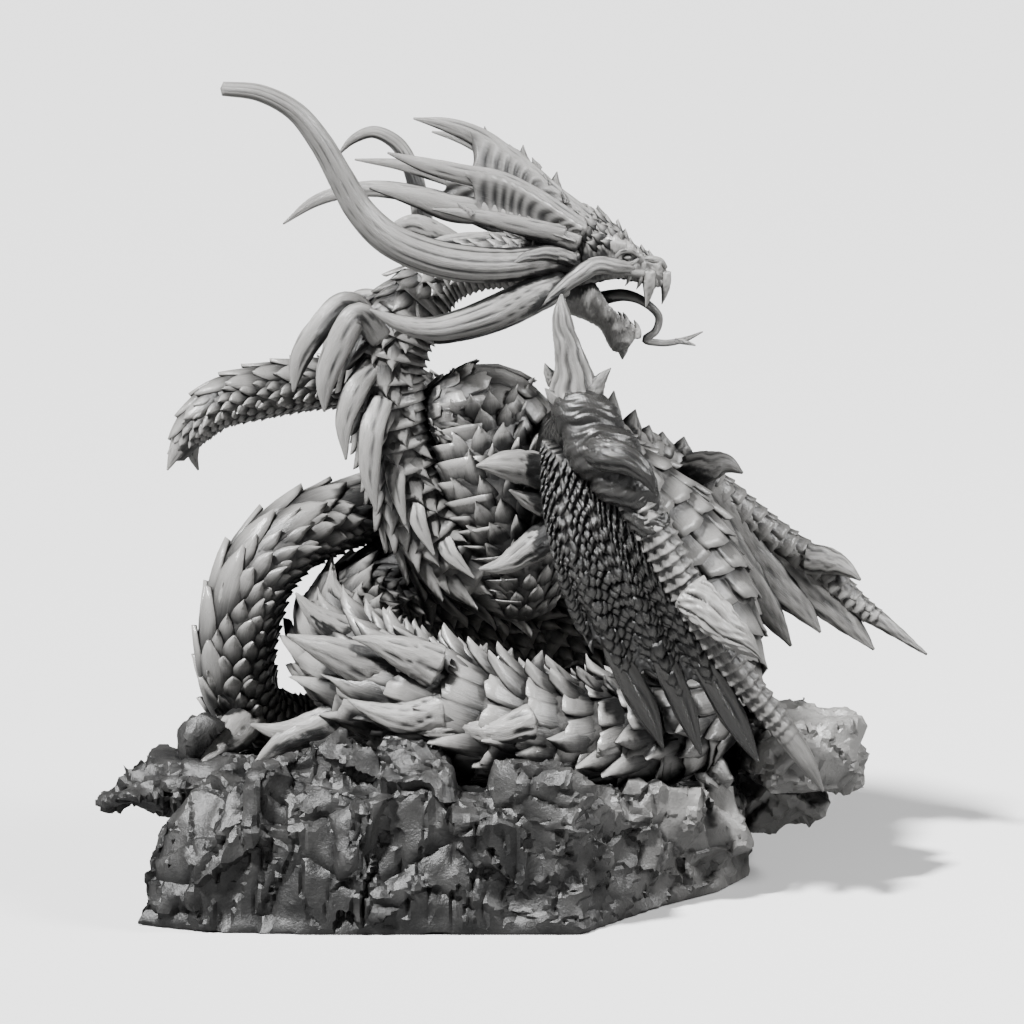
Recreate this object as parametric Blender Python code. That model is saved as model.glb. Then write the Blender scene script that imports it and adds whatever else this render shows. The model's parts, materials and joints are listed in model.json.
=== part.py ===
"""A cast resin dragon statue: a horned, winged serpent coiled on a broken rock.

Lengths are in metres, +Z is up, and the statue is seen from the -Y side. The origin lies on the
flat underside of the rock, below the middle of the figure.
"""

import itertools
import math
import random

import bmesh
import bpy
import numpy as np
from mathutils import Vector
from mathutils.kdtree import KDTree

# Driving sizes
DRAGON_HEIGHT = 0.270  # from the seat of the coils to the top of the great horn
ROCK_WIDTH = 0.290
ROCK_DEPTH = 0.170
SEAT_HEIGHT = 0.055  # of the rock's top, where the coils lie
SEAT_GAP = 0.0003  # between the dragon and the rock that it is set in

# The pose drawing. The sculptor's sheet shows the figure from slightly above. On it, u runs to
# the right of the statue's middle, v runs up from the front foot of the rock, and back is the
# depth behind the sheet. Its figure is 270 units high above the seat line.
SHEET_HEIGHT = 270.0
SHEET_TILT = math.radians(12)
SEAT_LINE = 70.0
UNIT = DRAGON_HEIGHT / SHEET_HEIGHT

# The rock drawing's own height, width and depth, which its points are shares of.
ROCK_SHEET = Vector((290.0, 170.0, 55.0))

# Corners of the thinned solid stay this far apart.
CORNER_GAP = 0.0001
DRAGON_FACETS = 8100

RESIN_GREY = (0.33, 0.325, 0.315, 1.0)
ROCK_GREY = (0.20, 0.197, 0.19, 1.0)

# Spines of the body. Each row is u, v, back and radius, then the way the back of the animal faces
# there, as x, y and z.
NECK = [
    (24, 269, 4, 10.5, 0.2, 0.3, 1),
    (6, 267, 10, 10, 0, 0.2, 1),
    (-12, 266, 14, 9.5, -0.2, 0.2, 1),
    (-27, 261.5, 15, 11, -0.5, 0.2, 0.9),
    (-39, 251, 12, 13.5, -0.8, 0.1, 0.6),
    (-47, 238, 9, 15, -1, 0, 0.4),
    (-51, 223, 6, 15, -1, -0.2, 0.1),
    (-48.5, 204, 5, 14.5, -1, -0.3, -0.1),
    (-43, 184, 5, 15.5, -1, -0.4, -0.4),
    (-35, 165, 6, 17, -0.8, -0.4, -0.7),
    (-19, 149, 8, 18.5, -0.4, -0.3, -1),
    (1, 143, 12, 18.5, 0.2, 0, -1),
]
COLUMN = [
    (3, 130, 10, 15, 0.9, 0.1, 0),
    (2, 146, 7, 18.5, 0.9, 0.1, 0),
    (-3, 166, 5, 21.5, 1, 0, 0),
    (-9, 186, 6, 22.5, 1, 0, 0),
    (-13, 205, 10, 19.5, 1, 0, 0),
]
BACK = [
    (-22, 205, 10, 18.5, 0.1, -0.4, 1),
    (-11, 206.5, 13, 20, 0.1, -0.4, 1),
    (5, 191, 16, 19.5, 0.3, -0.5, 1),
    (24, 183, 20, 21, 0.4, -0.6, 1),
    (40, 173, 23, 24, 0.5, -0.8, 0.8),
    (56, 157, 24, 26, 0.6, -0.9, 0.5),
    (68, 135, 21, 27.5, 0.7, -0.8, 0.3),
    (74, 112, 15, 26.5, 0.9, -0.5, 0.1),
    (75, 93, 8, 24.5, 0.9, -0.2, 0),
]
COIL = [
    (76, 92, 6, 23, 0.6, -0.5, 0.5),
    (57, 81, -8, 24.5, 0.4, -0.6, 0.6),
    (32, 76, -20, 24, 0, -0.8, 0.6),
    (3, 80, -29, 23.5, -0.1, -0.9, 0.5),
    (-25, 88, -32, 23.5, -0.4, -0.8, 0.6),
    (-51, 99, -25, 22.5, -0.8, -0.4, 0.6),
    (-66, 113, -6, 21, -0.9, 0, 0.6),
    (-63, 126, 17, 20, -0.6, 0.3, 0.9),
    (-47, 134, 34, 19, 0, 0.2, 1),
    (-26, 133, 41, 18, 0.2, 0, 1),
    (-4, 127, 43, 17.5, 0.4, 0, 1),
    (16, 119, 44, 18, 0.8, 0, 0.7),
    (29, 104, 42, 17, 1, 0, 0.2),
    (26, 90, 37, 14.5, 1, 0, -0.4),
    (15, 82, 32, 13, 0.8, 0, -0.6),
]
TAIL = [
    (16, 84, 32, 12.5, 0, 0.5, -1),
    (-6, 83, 29, 14, 0, 0.5, -1),
    (-35, 82, 31, 14, 0, 0.5, -1),
    (-64, 80, 36, 14, 0, 0.6, -1),
    (-90, 79, 34, 14, -0.3, 0.5, -1),
    (-105, 86, 24, 14, -0.8, 0.2, -0.5),
    (-111, 104, 14, 15, -1, -0.1, -0.1),
    (-108.5, 126, 8, 15.5, -1, -0.1, 0.1),
    (-100.5, 145.5, 8, 15, -0.9, -0.1, 0.6),
    (-87, 158, 14, 14.5, -0.5, -0.1, 1),
    (-69, 165.5, 25, 13.5, -0.2, 0, 1),
    (-51, 171, 37, 12.5, -0.1, 0, 1),
    (-34, 184, 46, 11, -0.3, -0.2, 0.8),
    (-22, 195, 50, 10, -0.6, -0.4, 0.4),
]
TAIL_END = [
    (-20, 188, 51, 9.5, 0, -1, 0.3),
    (-25, 205, 52, 9.5, 0.3, -0.6, 0.7),
    (-39, 215, 49, 9.5, 0.1, -0.1, 1),
    (-56, 219, 43, 9.5, 0, 0, 1),
    (-77, 219, 33, 10, 0, 0, 1),
    (-100, 215.5, 24, 10.5, -0.2, -0.1, 1),
    (-120, 208.5, 16, 9, -0.7, -0.1, 0.9),
    (-129.5, 198, 12, 6.5, -0.9, -0.1, 0.4),
    (-134, 189, 10, 2.8, -0.9, -0.1, 0.4),
]

# Horns. Each row is u, v, back and radius.
GREAT_HORN = [
    (25, 268, -6, 5),
    (13, 267, -12, 6),
    (-1, 265, -19, 6.8),
    (-17, 265, -26, 7.4),
    (-33, 268, -31, 7.2),
    (-49, 275, -34, 6.5),
    (-60, 286, -36, 5.8),
    (-67, 298, -38, 5.2),
    (-75, 312, -40, 4.6),
    (-85, 324, -42, 4.0),
    (-99, 331, -44, 3.4),
    (-113, 332.5, -45, 2.8),
]
FAR_GREAT_HORN = [
    (20, 267, 18, 5),
    (-4, 266, 30, 5.2),
    (-22, 270, 37, 5),
    (-34, 278, 41, 4.5),
    (-37, 291, 44, 4),
    (-40, 304, 46, 3.5),
    (-47, 316, 48, 3),
    (-56, 320, 49, 2.5),
    (-64, 317, 50, 1.8),
    (-70, 311, 51, 0.4),
]
LOWER_HORN = [
    (20, 258, -10, 5.5),
    (8, 253, -17, 6.8),
    (-5, 247, -23, 6.8),
    (-19, 242, -28, 5.8),
    (-33, 239.5, -31, 4.6),
    (-45, 242, -32, 3.2),
    (-56, 247, -32, 0.5),
]
CHEEK_HORN = [
    (47, 264, -9, 2.4),
    (41, 264.5, -13, 3.2),
    (33, 264.5, -16, 3.5),
    (25, 260, -18, 3.1),
    (17, 253.5, -20, 2.1),
    (10, 247, -21, 0.4),
]
TEMPLE_SPUR = [
    (24, 267, -11, 3.2),
    (14, 269.5, -17, 3),
    (6, 268, -22, 2.1),
    (-1, 264.5, -25, 0.4),
]
# The crest's three tines, top to bottom, on the near side and on the far one.
NEAR_TINES = [
    [(31, 281, -4, 5), (18, 291, -7, 4.6), (5, 302, -9, 4.6), (-5, 309.5, -10, 4.6), (-15, 316, -11, 4.2), (-24, 319.5, -12, 3.2), (-39, 322.6, -12, 0.4)],
    [(28, 278, -8, 5), (9, 290.5, -14, 4.8), (-5, 297.5, -18, 4.4), (-20, 300.5, -21, 4), (-33, 303.5, -23, 3.2), (-49, 308.6, -24, 0.4)],
    [(26, 274, -9, 5), (8, 279.5, -15, 4.6), (-12, 285.5, -20, 5.2), (-24, 287, -23, 5.6), (-36, 290.5, -26, 4.2), (-56, 294.5, -31, 0.4)],
]
FAR_TINES = [
    [(33, 281, 6, 4.5), (10, 298, 15, 4), (-6, 309, 19, 3.4), (-20, 316, 22, 2.2), (-32, 319, 24, 0.4)],
    [(28, 280, 9, 4.5), (6, 290, 20, 4), (-20, 299, 28, 3.4), (-43, 306, 33, 2.6), (-63, 308.5, 36, 0.4)],
    [(24, 274, 9, 4.5), (0, 280, 22, 4.2), (-32, 293, 31, 3.8), (-62, 296.5, 36, 3.2), (-79, 292, 39, 2.4), (-92, 283, 41, 0.4)],
]
TONGUE = [
    (29, 250, 0, 3.2),
    (37, 252.5, 0, 2.8),
    (45, 253.5, 0, 2.4),
    (53, 250.5, 0, 1.8),
    (58.5, 244.5, 0, 1.6),
    (57, 239, 0, 1.6),
    (53, 236, 0, 1.5),
    (60, 234.5, 0, 1.4),
    (69, 236, 0, 1.1),
    (76, 239, 0, 0.3),
]
TONGUE_FORK = [(65, 235.5, 0, 1.1), (70, 234.5, -1.5, 0.9), (73, 233.5, -3, 0.3)]

# Stations of the head, back to front. Each row is the u and v of its top, the u and v of its
# underside, its depth and its half width.
SKULL = [
    (16, 280, 19, 256, 3, 8.5),
    (27, 290, 28, 257, 2, 11.5),
    (36, 285, 36, 259, 1, 12.5),
    (43, 280, 42.5, 260, 0, 11.5),
    (49, 273.5, 48, 259, 0, 9.5),
    (54.5, 270, 54, 257.5, -0.5, 7.5),
    (59, 267.5, 58.5, 256.5, -1, 6),
    (61.5, 263, 61.5, 257.5, -1, 3.5),
]
JAW = [
    (24, 262, 20, 247, 2, 8),
    (32, 259, 29, 243.5, 1, 9),
    (39, 249, 35, 240, 0, 8),
    (46, 243, 41, 231, -0.5, 6.5),
    (51, 239, 46, 232, -1, 4),
]
CHIN_SPUR = [(43, 236, -0.5, 4), (44, 232, -0.5, 2.4), (44, 228, -0.5, 0.3)]
# Half outlines of their sections, as shares of the half width and height, from the top down.
SKULL_PROFILE = [(0, 1), (0.5, 0.86), (0.86, 0.5), (0.96, 0), (1, -0.55), (0.9, -1), (0.6, -0.72), (0, -0.5)]
JAW_PROFILE = [(0, 0.4), (0.55, 0.5), (0.85, 1), (1, 0.5), (0.9, -0.3), (0.5, -0.9), (0, -1)]
# Fangs as u, v, back, length and radius, the points going down from the lip or up from the jaw.
UPPER_FANGS = [(52.5, 259, 7.5, -10, 1.9), (60, 259, 4, -8.5, 1.7), (47, 260.5, 9.4, -7, 1.5), (41.5, 261, 10.6, -6, 1.3)]
LOWER_FANGS = [(49.5, 238, 3.6, 6, 1.4), (46, 241.5, 5, 6.5, 1.4), (40.5, 246.5, 6.4, 5, 1.3)]
HEAD_THORNS = [(36, 283, 0, 34, 289, 3), (17.5, 294, -6, 17.8, 302, 3), (5.5, 303, -8, 4.4, 312.4, 3.2), (-9, 313.5, -9, -10.8, 319.6, 2.4)]

# Spikes of the mane, down the back of the neck.
MANE = [
    [(-53, 242, 4, 4.6), (-66, 250, 0, 5.2), (-77, 240, -4, 5), (-85, 226, -7, 3.8), (-87, 215, -8, 0.5)],
    [(-52, 236, -6, 5), (-61, 245, -11, 5.6), (-69, 233, -15, 5.4), (-74, 218, -17, 4), (-74.5, 207, -17, 0.5)],
    [(-55, 226, -6, 4.5), (-62, 216, -14, 5.2), (-66.5, 203, -18, 3.8), (-66, 188, -19, 0.5)],
    [(-52, 212, -10, 5), (-56, 198, -18, 5.2), (-56.5, 184, -21, 4.2), (-54, 167.5, -22, 0.5)],
    [(-47, 192, -4, 4), (-46, 178, -13, 3.8), (-42.5, 162, -16, 0.5)],
    [(-40, 176, -6, 4), (-37, 163, -14, 3.6), (-31, 150, -17, 0.5)],
    [(-30, 162, -6, 4), (-24, 150, -14, 3.4), (-15, 141, -17, 0.5)],
    [(-48, 250, 16, 4.4), (-60, 252, 22, 4.6), (-70, 243, 26, 4), (-76, 232, 28, 0.5)],
]
# The two great spurs at the breast, and their smaller ones.
BREAST_SPURS = [
    [(22, 178, -12, 8), (8, 184, -22, 7.5), (-5, 186, -28, 5), (-14, 185.5, -31, 0.5)],
    [(20, 168, -12, 6), (8, 172, -22, 4.6), (-1, 176, -27, 0.5)],
    [(18, 160, -14, 8), (6, 152, -23, 6), (-4, 146, -29, 3.6), (-13, 144.5, -31, 0.5)],
]
# Spurs of the coil: root, middle and tip, as horns.
COIL_SPURS = [
    [(-44, 102, -36, 11), (-62, 108, -42, 8.5), (-77, 114, -44, 4.6), (-89, 118.5, -44, 0.5)],
    [(-56, 116, -22, 8), (-70, 121, -26, 6), (-80, 128, -27, 3.4), (-86, 135, -27, 0.5)],
    [(-58, 122, -8, 7.5), (-66, 130, -10, 5.4), (-71, 137, -10, 3), (-72, 143.5, -9, 0.5)],
    [(-50, 128, 8, 6.5), (-58, 136, 8, 4), (-65, 144.5, 10, 0.5)],
    [(-30, 106, -50, 9), (-44, 112, -52, 6.5), (-55, 116, -52, 3), (-63, 117.5, -51, 0.5)],
    [(-28, 88, -52, 8), (-46, 86, -54, 6), (-57, 89.5, -53, 3), (-65, 93, -51, 0.5)],
    [(-14, 84, -50, 6), (-32, 81, -54, 4), (-45, 84, -54, 0.5)],
    [(8, 84, -50, 7.5), (-8, 80, -54, 5.6), (-19, 82.5, -54, 2.8), (-28, 87, -52, 0.5)],
]
COIL_PEAKS = [(-12, 104, -30, -10, 115, 5), (-2, 102, -26, 0, 113, 5), (10, 100, -22, 12, 112, 5)]
RIDGE_PEAKS = [(-47, 148, 32, -47, 156, 5), (-38, 147, 36, -35, 153, 4.4), (-56, 143, 26, -60, 150, 4.4), (-27, 145, 38, -23, 151, 4)]

# The near wing is folded down over the breast. Its sleeve runs from the wrist to the long finger.
SLEEVE = [
    (22, 216, -30, 7),
    (25, 211, -34, 11),
    (29, 203, -38, 14),
    (36, 191, -42, 15),
    (44, 180, -45, 13),
    (51, 170, -47, 9.5),
    (56, 160, -48, 8),
]
SHOULDER = [(22, 190, 14, 19), (26, 194, -6, 16), (31, 195, -24, 13), (34, 193, -38, 9)]
FAR_SHOULDER = [(24, 188, 22, 16), (36, 189, 36, 12), (52, 189, 47, 9)]
THUMB = [(25, 214, -33, 10), (24, 224, -34, 6.5), (21, 236, -34, 4.4), (19.5, 246, -33, 3), (19.5, 253, -32, 0.5)]
COLLAR_THORNS = [(32, 214, -38, 39, 224, 4), (20, 210, -38, 13, 216, 4), (16, 220, -30, 13, 226, 3)]
WRIST_SPUR = [(36, 184, -52, 8.5), (46, 187, -58, 8), (53, 183, -61, 5), (57, 174, -62, 0.5)]
LONG_FINGER = [
    (48, 176, -46, 8.5),
    (56, 160, -48, 7.5),
    (68, 138, -48, 7),
    (80, 118, -46, 6.4),
    (94, 98, -44, 5.6),
    (107, 82, -42, 4.8),
    (117, 68, -40, 3.6),
    (124, 56, -38, 0.5),
]
FINGER_SPUR = [(70, 136, -52, 8), (82, 124, -58, 7.2), (92, 115, -60, 4.4), (98, 109.5, -60, 0.5)]
NEAR_FINGERS = [
    [(20, 190, -34, 8), (23, 162, -38, 10), (33, 130, -42, 9.5), (44, 106, -44, 8), (54, 87, -45, 4.6), (60, 73.5, -45, 0.5)],
    [(30, 184, -38, 8), (40, 156, -42, 9), (52, 128, -45, 8.5), (62, 104, -46, 7), (70, 85, -46, 4), (75, 71, -46, 0.5)],
    [(38, 180, -42, 8), (50, 154, -45, 8.5), (64, 128, -46, 8), (78, 103, -46, 7), (90, 82, -45, 4.6), (98, 67.5, -44, 0.5)],
]
# The far wing reaches back and to the right.
FAR_ARM = [
    (36, 198, 34, 9),
    (50, 192.5, 46, 8.5),
    (64, 186.5, 56, 8),
    (79, 179, 62, 7.4),
    (93, 168, 65, 7),
    (109, 155.5, 66, 6.8),
    (126, 144.5, 66, 6),
    (141, 129.5, 65, 4.6),
    (154, 120.5, 63, 3),
    (169.5, 109, 61, 0.5),
]
FAR_SPURS = [
    [(70, 183, 54, 7.5), (79, 185.5, 50, 6.4), (87, 186.5, 48, 4), (93.5, 183, 46, 0.5)],
    [(121, 148, 63, 6.5), (130, 147, 60, 5.2), (137, 143.5, 57, 3), (142, 139.5, 55, 0.5)],
]
FAR_THORNS = [
    (41, 199, 30, 41, 216, 4.6),
    (48, 197, 38, 49.8, 208.6, 4.8),
    (54, 194, 44, 55.5, 202.4, 4.8),
    (61, 191.5, 50, 61, 199.8, 4.8),
    (69, 188.5, 54, 69.8, 197.8, 4.6),
]
FAR_FINGERS = [
    [(66, 184, 52, 7), (84, 157, 57, 8), (98, 137, 58, 6.5), (108, 122, 58, 4), (114, 112.5, 58, 0.5)],
    [(75, 179, 56, 7), (93, 156, 61, 8), (109, 137, 61, 6.5), (120, 126, 61, 4), (126, 118, 61, 0.5)],
    [(86, 172, 60, 7), (106, 151, 64, 8), (126, 132, 64, 6.5), (140, 119.5, 63, 4), (148, 111, 62, 0.5)],
]
TAIL_PRONGS = [
    [(-127, 200, 11, 4), (-134, 192, 8, 3.2), (-138, 184, 6, 0.4)],
    [(-128, 196, 14, 3.4), (-128, 190, 16, 2.2), (-126, 184, 17, 0.4)],
]
TAIL_FIN = [
    [(-104, 86, 10, 7), (-112, 78, -2, 8), (-120, 71, -10, 5), (-125, 64, -14, 1)],
    [(-62, 88, -26, 9), (-78, 81, -30, 7.5), (-93, 79.5, -31, 4), (-104, 82.5, -30, 0.5)],
    [(-76, 82, -29, 7), (-90, 76, -32, 5.4), (-98, 70, -32, 2.8), (-105, 63, -30, 0.5)],
]


def drawn(u, v, back):
    """The place in the statue of a point of the pose drawing."""
    rise = (v - SEAT_LINE) / math.cos(SHEET_TILT) - back * math.tan(SHEET_TILT)
    return Vector((u * UNIT, back * UNIT, SEAT_HEIGHT + rise * UNIT))


def rock_point(x, y, z):
    """The place of a point of the rock drawing, which stretches with the rock's own sizes."""
    share = Vector((x / ROCK_SHEET.x, y / ROCK_SHEET.y, z / ROCK_SHEET.z))
    return Vector((share.x * ROCK_WIDTH, share.y * ROCK_DEPTH, share.z * SEAT_HEIGHT))


def spline(rows, count):
    """A smooth curve through the rows: `count` rows at even shares of its length."""
    rows = np.array(rows, float)
    step = np.linalg.norm(np.diff(rows[:, :3], axis=0), axis=1)
    at = np.concatenate([[0.0], np.cumsum(step)])
    slope = np.gradient(rows, at, axis=0)
    wanted = np.linspace(0.0, at[-1], count)
    span = np.clip(np.searchsorted(at, wanted, side="right") - 1, 0, len(step) - 1)
    length = step[span][:, None]
    t = ((wanted - at[span]) / step[span])[:, None]
    start, end = rows[span], rows[span + 1]
    curve = (2 * t**3 - 3 * t**2 + 1) * start + (t**3 - 2 * t**2 + t) * length * slope[span]
    return curve + (3 * t**2 - 2 * t**3) * end + (t**3 - t**2) * length * slope[span + 1]


def placed(rows):
    """Rows of the drawing with their first three numbers as places and their fourth in metres."""
    out = np.array(rows, float)
    out[:, :3] = [drawn(*row[:3]) for row in rows]
    out[:, 3] *= UNIT
    return out


def frames(points, facing):
    """Tangent, outward and sideways directions along a curve, the outward one close to `facing`."""
    along = np.gradient(points, axis=0)
    along /= np.linalg.norm(along, axis=1)[:, None]
    out = facing - (facing * along).sum(1)[:, None] * along
    out /= np.linalg.norm(out, axis=1)[:, None]
    return along, out, np.cross(along, out)


def mesh_object(name, points, faces, material):
    """A closed mesh as an object, with its faces pointing out."""
    mesh = bpy.data.meshes.new(name)
    mesh.from_pydata([tuple(p) for p in points], [], faces)
    shape = bmesh.new()
    shape.from_mesh(mesh)
    bmesh.ops.recalc_face_normals(shape, faces=shape.faces)
    if shape.calc_volume(signed=True) < 0:
        bmesh.ops.reverse_faces(shape, faces=shape.faces)
    shape.to_mesh(mesh)
    shape.free()
    mesh.materials.append(material)
    made = bpy.data.objects.new(name, mesh)
    bpy.context.scene.collection.objects.link(made)
    return made


def skin(rings, ends):
    """Points and faces of a tube over rings of equal count, closed to a point at both ends."""
    rings = [[tuple(p) for p in ring] for ring in rings]
    sides = len(rings[0])
    points = [p for ring in rings for p in ring] + [tuple(p) for p in ends]
    first, last = len(points) - 2, len(points) - 1
    faces = []
    for ring in range(len(rings) - 1):
        for side in range(sides):
            a = ring * sides + side
            b = ring * sides + (side + 1) % sides
            faces.append((a, b, b + sides, a + sides))
    top = (len(rings) - 1) * sides
    for side in range(sides):
        other = (side + 1) % sides
        faces.append((other, side, first))
        faces.append((top + side, top + other, last))
    return points, faces


def ring_points(centre, out, side, radius, sides, flat=1.0, turn=0.0):
    """An ellipse of points: `radius` across and `flat` times it along `out`."""
    angles = [math.tau * (k + turn) / sides for k in range(sides)]
    return [
        centre + out * (radius * flat * math.cos(a)) + side * (radius * math.sin(a))
        for a in angles
    ]


def horn(name, rows, material, sides=6, rings=5, flat=1.0, facing=(0.0, -1.0, 0.0), grow=0.0):
    """A tapering horn, spike or finger along a drawn curve."""
    curve = spline(placed(rows), rings)
    points = curve[:, :3]
    along, out, side = frames(points, np.tile(np.array(facing, float), (rings, 1)))
    radius = curve[:, 3] + grow
    loops = [
        ring_points(points[k], out[k], side[k], radius[k], sides, flat)
        for k in range(rings)
    ]
    reach = radius[[0, -1]] * 0.6
    ends = (points[0] - along[0] * reach[0], points[-1] + along[-1] * reach[1])
    return mesh_object(name, *skin(loops, ends), material)


def plated(name, rows, material, plates, sides=10, step=0.07, point=0.3, grow=0.0):
    """A serpent body of overlapping plates: each widens to a lip of pointed scales."""
    curve = spline(placed(rows), 2 * plates + 1)
    points = curve[:, :3]
    along, out, side = frames(points, curve[:, 4:7])
    loops = []
    for k in range(plates):
        root, lip = 2 * k, 2 * k + 2
        shrink = curve[root, 3] * (1 - step) + grow
        swell = curve[lip, 3] * (1 + step) + grow
        loops.append(ring_points(points[root], out[root], side[root], shrink, sides))
        edge = ring_points(points[lip], out[lip], side[lip], swell, sides)
        back = along[lip] * np.linalg.norm(points[lip] - points[root])
        loops.append([p + back * (point * (j % 2) - 0.12) for j, p in enumerate(edge)])
    reach = curve[[0, -1], 3] * 0.5
    ends = (points[0] - along[0] * reach[0], points[-1] + along[-1] * (reach[1] + 0.004))
    return mesh_object(name, *skin(loops, ends), material)


def smooth_body(name, rows, material, rings, sides=10, grow=0.0, swell=0.07):
    """The plain envelope of a plated body, for the bed that the rock has for it."""
    curve = spline(placed(rows), rings)
    points = curve[:, :3]
    along, out, side = frames(points, curve[:, 4:7])
    # A ring of straight sides lies inside its circle, so it is widened to hold the plates.
    widen = (1 + swell) / math.cos(math.pi / sides)
    loops = [
        ring_points(points[k], out[k], side[k], curve[k, 3] * widen + grow, sides)
        for k in range(rings)
    ]
    reach = curve[[0, -1], 3] * 0.6 + 0.005
    ends = (points[0] - along[0] * reach[0], points[-1] + along[-1] * reach[1])
    return mesh_object(name, *skin(loops, ends), material)


def stations(name, rows, material, profile):
    """A head or jaw from its stations, each half outline reaching from a drawn top to a bottom."""
    outline = profile + [(-across, rise) for across, rise in reversed(profile[1:-1])]
    loops = []
    for top_u, top_v, low_u, low_v, back, half in rows:
        top, low = drawn(top_u, top_v, back), drawn(low_u, low_v, back)
        centre, rise = (top + low) / 2, (top - low) / 2
        loops.append([
            centre + rise * up + Vector((0, half * across * UNIT, 0)) for across, up in outline
        ])
    middles = [
        sum(loop, Vector()) / len(loop) for loop in (loops[0], loops[1], loops[-2], loops[-1])
    ]
    ends = (middles[0] + (middles[0] - middles[1]) * 0.2, middles[3] + (middles[3] - middles[2]) * 0.2)
    return mesh_object(name, *skin(loops, ends), material)


def thorn(name, row, material, sides=4):
    """A short spike, from its root to its tip on the drawing, at one depth."""
    u, v, back, tip_u, tip_v, radius = row
    root = (u - (tip_u - u) * 0.3, v - (tip_v - v) * 0.3, back, radius * 1.3)
    return horn(name, [root, (tip_u, tip_v, back, 0.3)], material, sides, 2)


def fang(name, row, material):
    """A tooth of the upper or lower jaw, on both sides of the mouth."""
    u, v, half, length, radius = row
    made = []
    for side, depth in (("near", -half), ("far", half)):
        # A tooth as deep again behind the sheet is drawn higher on it by the sheet's tilt.
        rise = (depth + half) * math.sin(SHEET_TILT)
        tip = (u + 0.3, v + length + rise, depth, 0.25)
        root = (u - 0.2, v - length * 0.3 + rise, depth, radius)
        made.append(horn(f"{name}_{side}", [root, tip], material, 5, 2))
    return made


def mirrored(rows, about=3.0, spread=1.0):
    """Drawn rows on the other side of the head's middle plane."""
    return [(row[0], row[1], about + (about - row[2]) * spread, *row[3:]) for row in rows]


def web(name, curves, material, thick, rings=5):
    """A skin stretched between neighbouring horns or fingers, cut in an arc between their tips."""
    made = []
    for index, (first, second, first_reach, second_reach) in enumerate(curves):
        a = spline(placed(first), 41)[: int(41 * first_reach), :3]
        b = spline(placed(second), 41)[: int(41 * second_reach), :3]
        loops = []
        for k in range(rings):
            share = k / (rings - 1)
            pair = [line[round(share * (len(line) - 1))] for line in (a, b)]
            # The edge between the two tips curves inward.
            inner = [line[round(share * (len(line) - 1) * 0.78)] for line in (a, b)]
            sag = (inner[0] + inner[1]) / 2
            normal = np.cross(a[1] - a[0], b[0] - a[0])
            normal = normal / np.linalg.norm(normal) * thick * UNIT / 2
            loops.append([pair[0] + normal, sag + normal, pair[1] + normal,
                          pair[1] - normal, sag - normal, pair[0] - normal])
        ends = (sum(loops[0]) / 6, sum(loops[-1]) / 6)
        made.append(mesh_object(f"{name}_{index}", *skin(loops, ends), material))
    return made


def fused(name, pieces):
    """One solid from overlapping closed pieces, which are used up."""
    base, others = pieces[0], pieces[1:]
    group = bpy.data.collections.new(name + "_pieces")
    for piece in others:
        group.objects.link(piece)
    union = base.modifiers.new("Union", "BOOLEAN")
    union.operation = "UNION"
    union.operand_type = "COLLECTION"
    union.collection = group
    union.use_self = True
    graph = bpy.context.evaluated_depsgraph_get()
    mesh = bpy.data.meshes.new_from_object(base.evaluated_get(graph))
    for piece in pieces:
        bpy.data.objects.remove(piece)
    bpy.data.collections.remove(group)
    made = bpy.data.objects.new(name, mesh)
    bpy.context.scene.collection.objects.link(made)
    return made


def collapse_loss(gone, kept):
    """How much a solid changes when one corner moves into a neighbour, or None if it may not."""
    ring = {edge.other_vert(gone) for edge in gone.link_edges}
    if len(ring & {edge.other_vert(kept) for edge in kept.link_edges}) != 2:
        return None
    spread = 0.0
    opposite = {frozenset(face.verts) for face in kept.link_faces}
    for face in gone.link_faces:
        if kept in face.verts:
            continue
        pair = [vert for vert in face.verts if vert is not gone]
        if frozenset((kept, *pair)) in opposite:
            return None
        first, second = [vert.co for vert in pair]
        old = (first - gone.co).cross(second - gone.co)
        new = (first - kept.co).cross(second - kept.co)
        if old.dot(new) < 0.3 * old.length * new.length or new.length < 1e-9:
            return None
        spread = max(spread, abs((kept.co - gone.co).dot(face.normal)))
    return spread + 0.02 * (kept.co - gone.co).length


def untangle(shape):
    """Gives each of two facet pairs that meet along one edge an edge of its own."""
    shape.normal_update()
    for edge in [edge for edge in shape.edges if len(edge.link_faces) == 4]:
        start, end = edge.verts
        sides = {"onward": [], "back": []}
        for face in edge.link_faces:
            verts = list(face.verts)
            after = verts[(verts.index(start) + 1) % 3]
            sides["onward" if after is end else "back"].append(face)
        pairs = itertools.product(sides["onward"], sides["back"])
        flat = max(pairs, key=lambda pair: pair[0].normal.dot(pair[1].normal))
        left, right = [next(v for v in face.verts if v not in edge.verts) for face in flat]
        middle = shape.verts.new((start.co + end.co) / 2)
        for face in flat:
            shape.faces.remove(face)
        for first, second, third in (
            (start, middle, left), (middle, end, left), (end, middle, right), (middle, start, right)
        ):
            shape.faces.new((first, second, third))


def spread(shape, least):
    """Moves corners that all but touch apart, because a merge would pinch the solid there."""
    shape.verts.index_update()
    shape.verts.ensure_lookup_table()
    tree = KDTree(len(shape.verts))
    for vert in shape.verts:
        tree.insert(vert.co, vert.index)
    tree.balance()
    for vert in shape.verts:
        if any(index > vert.index for _, index, _ in tree.find_range(vert.co, least)):
            around = [edge.other_vert(vert).co for edge in vert.link_edges]
            vert.co = vert.co.lerp(sum(around, Vector()) / len(around), 0.15)


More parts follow.
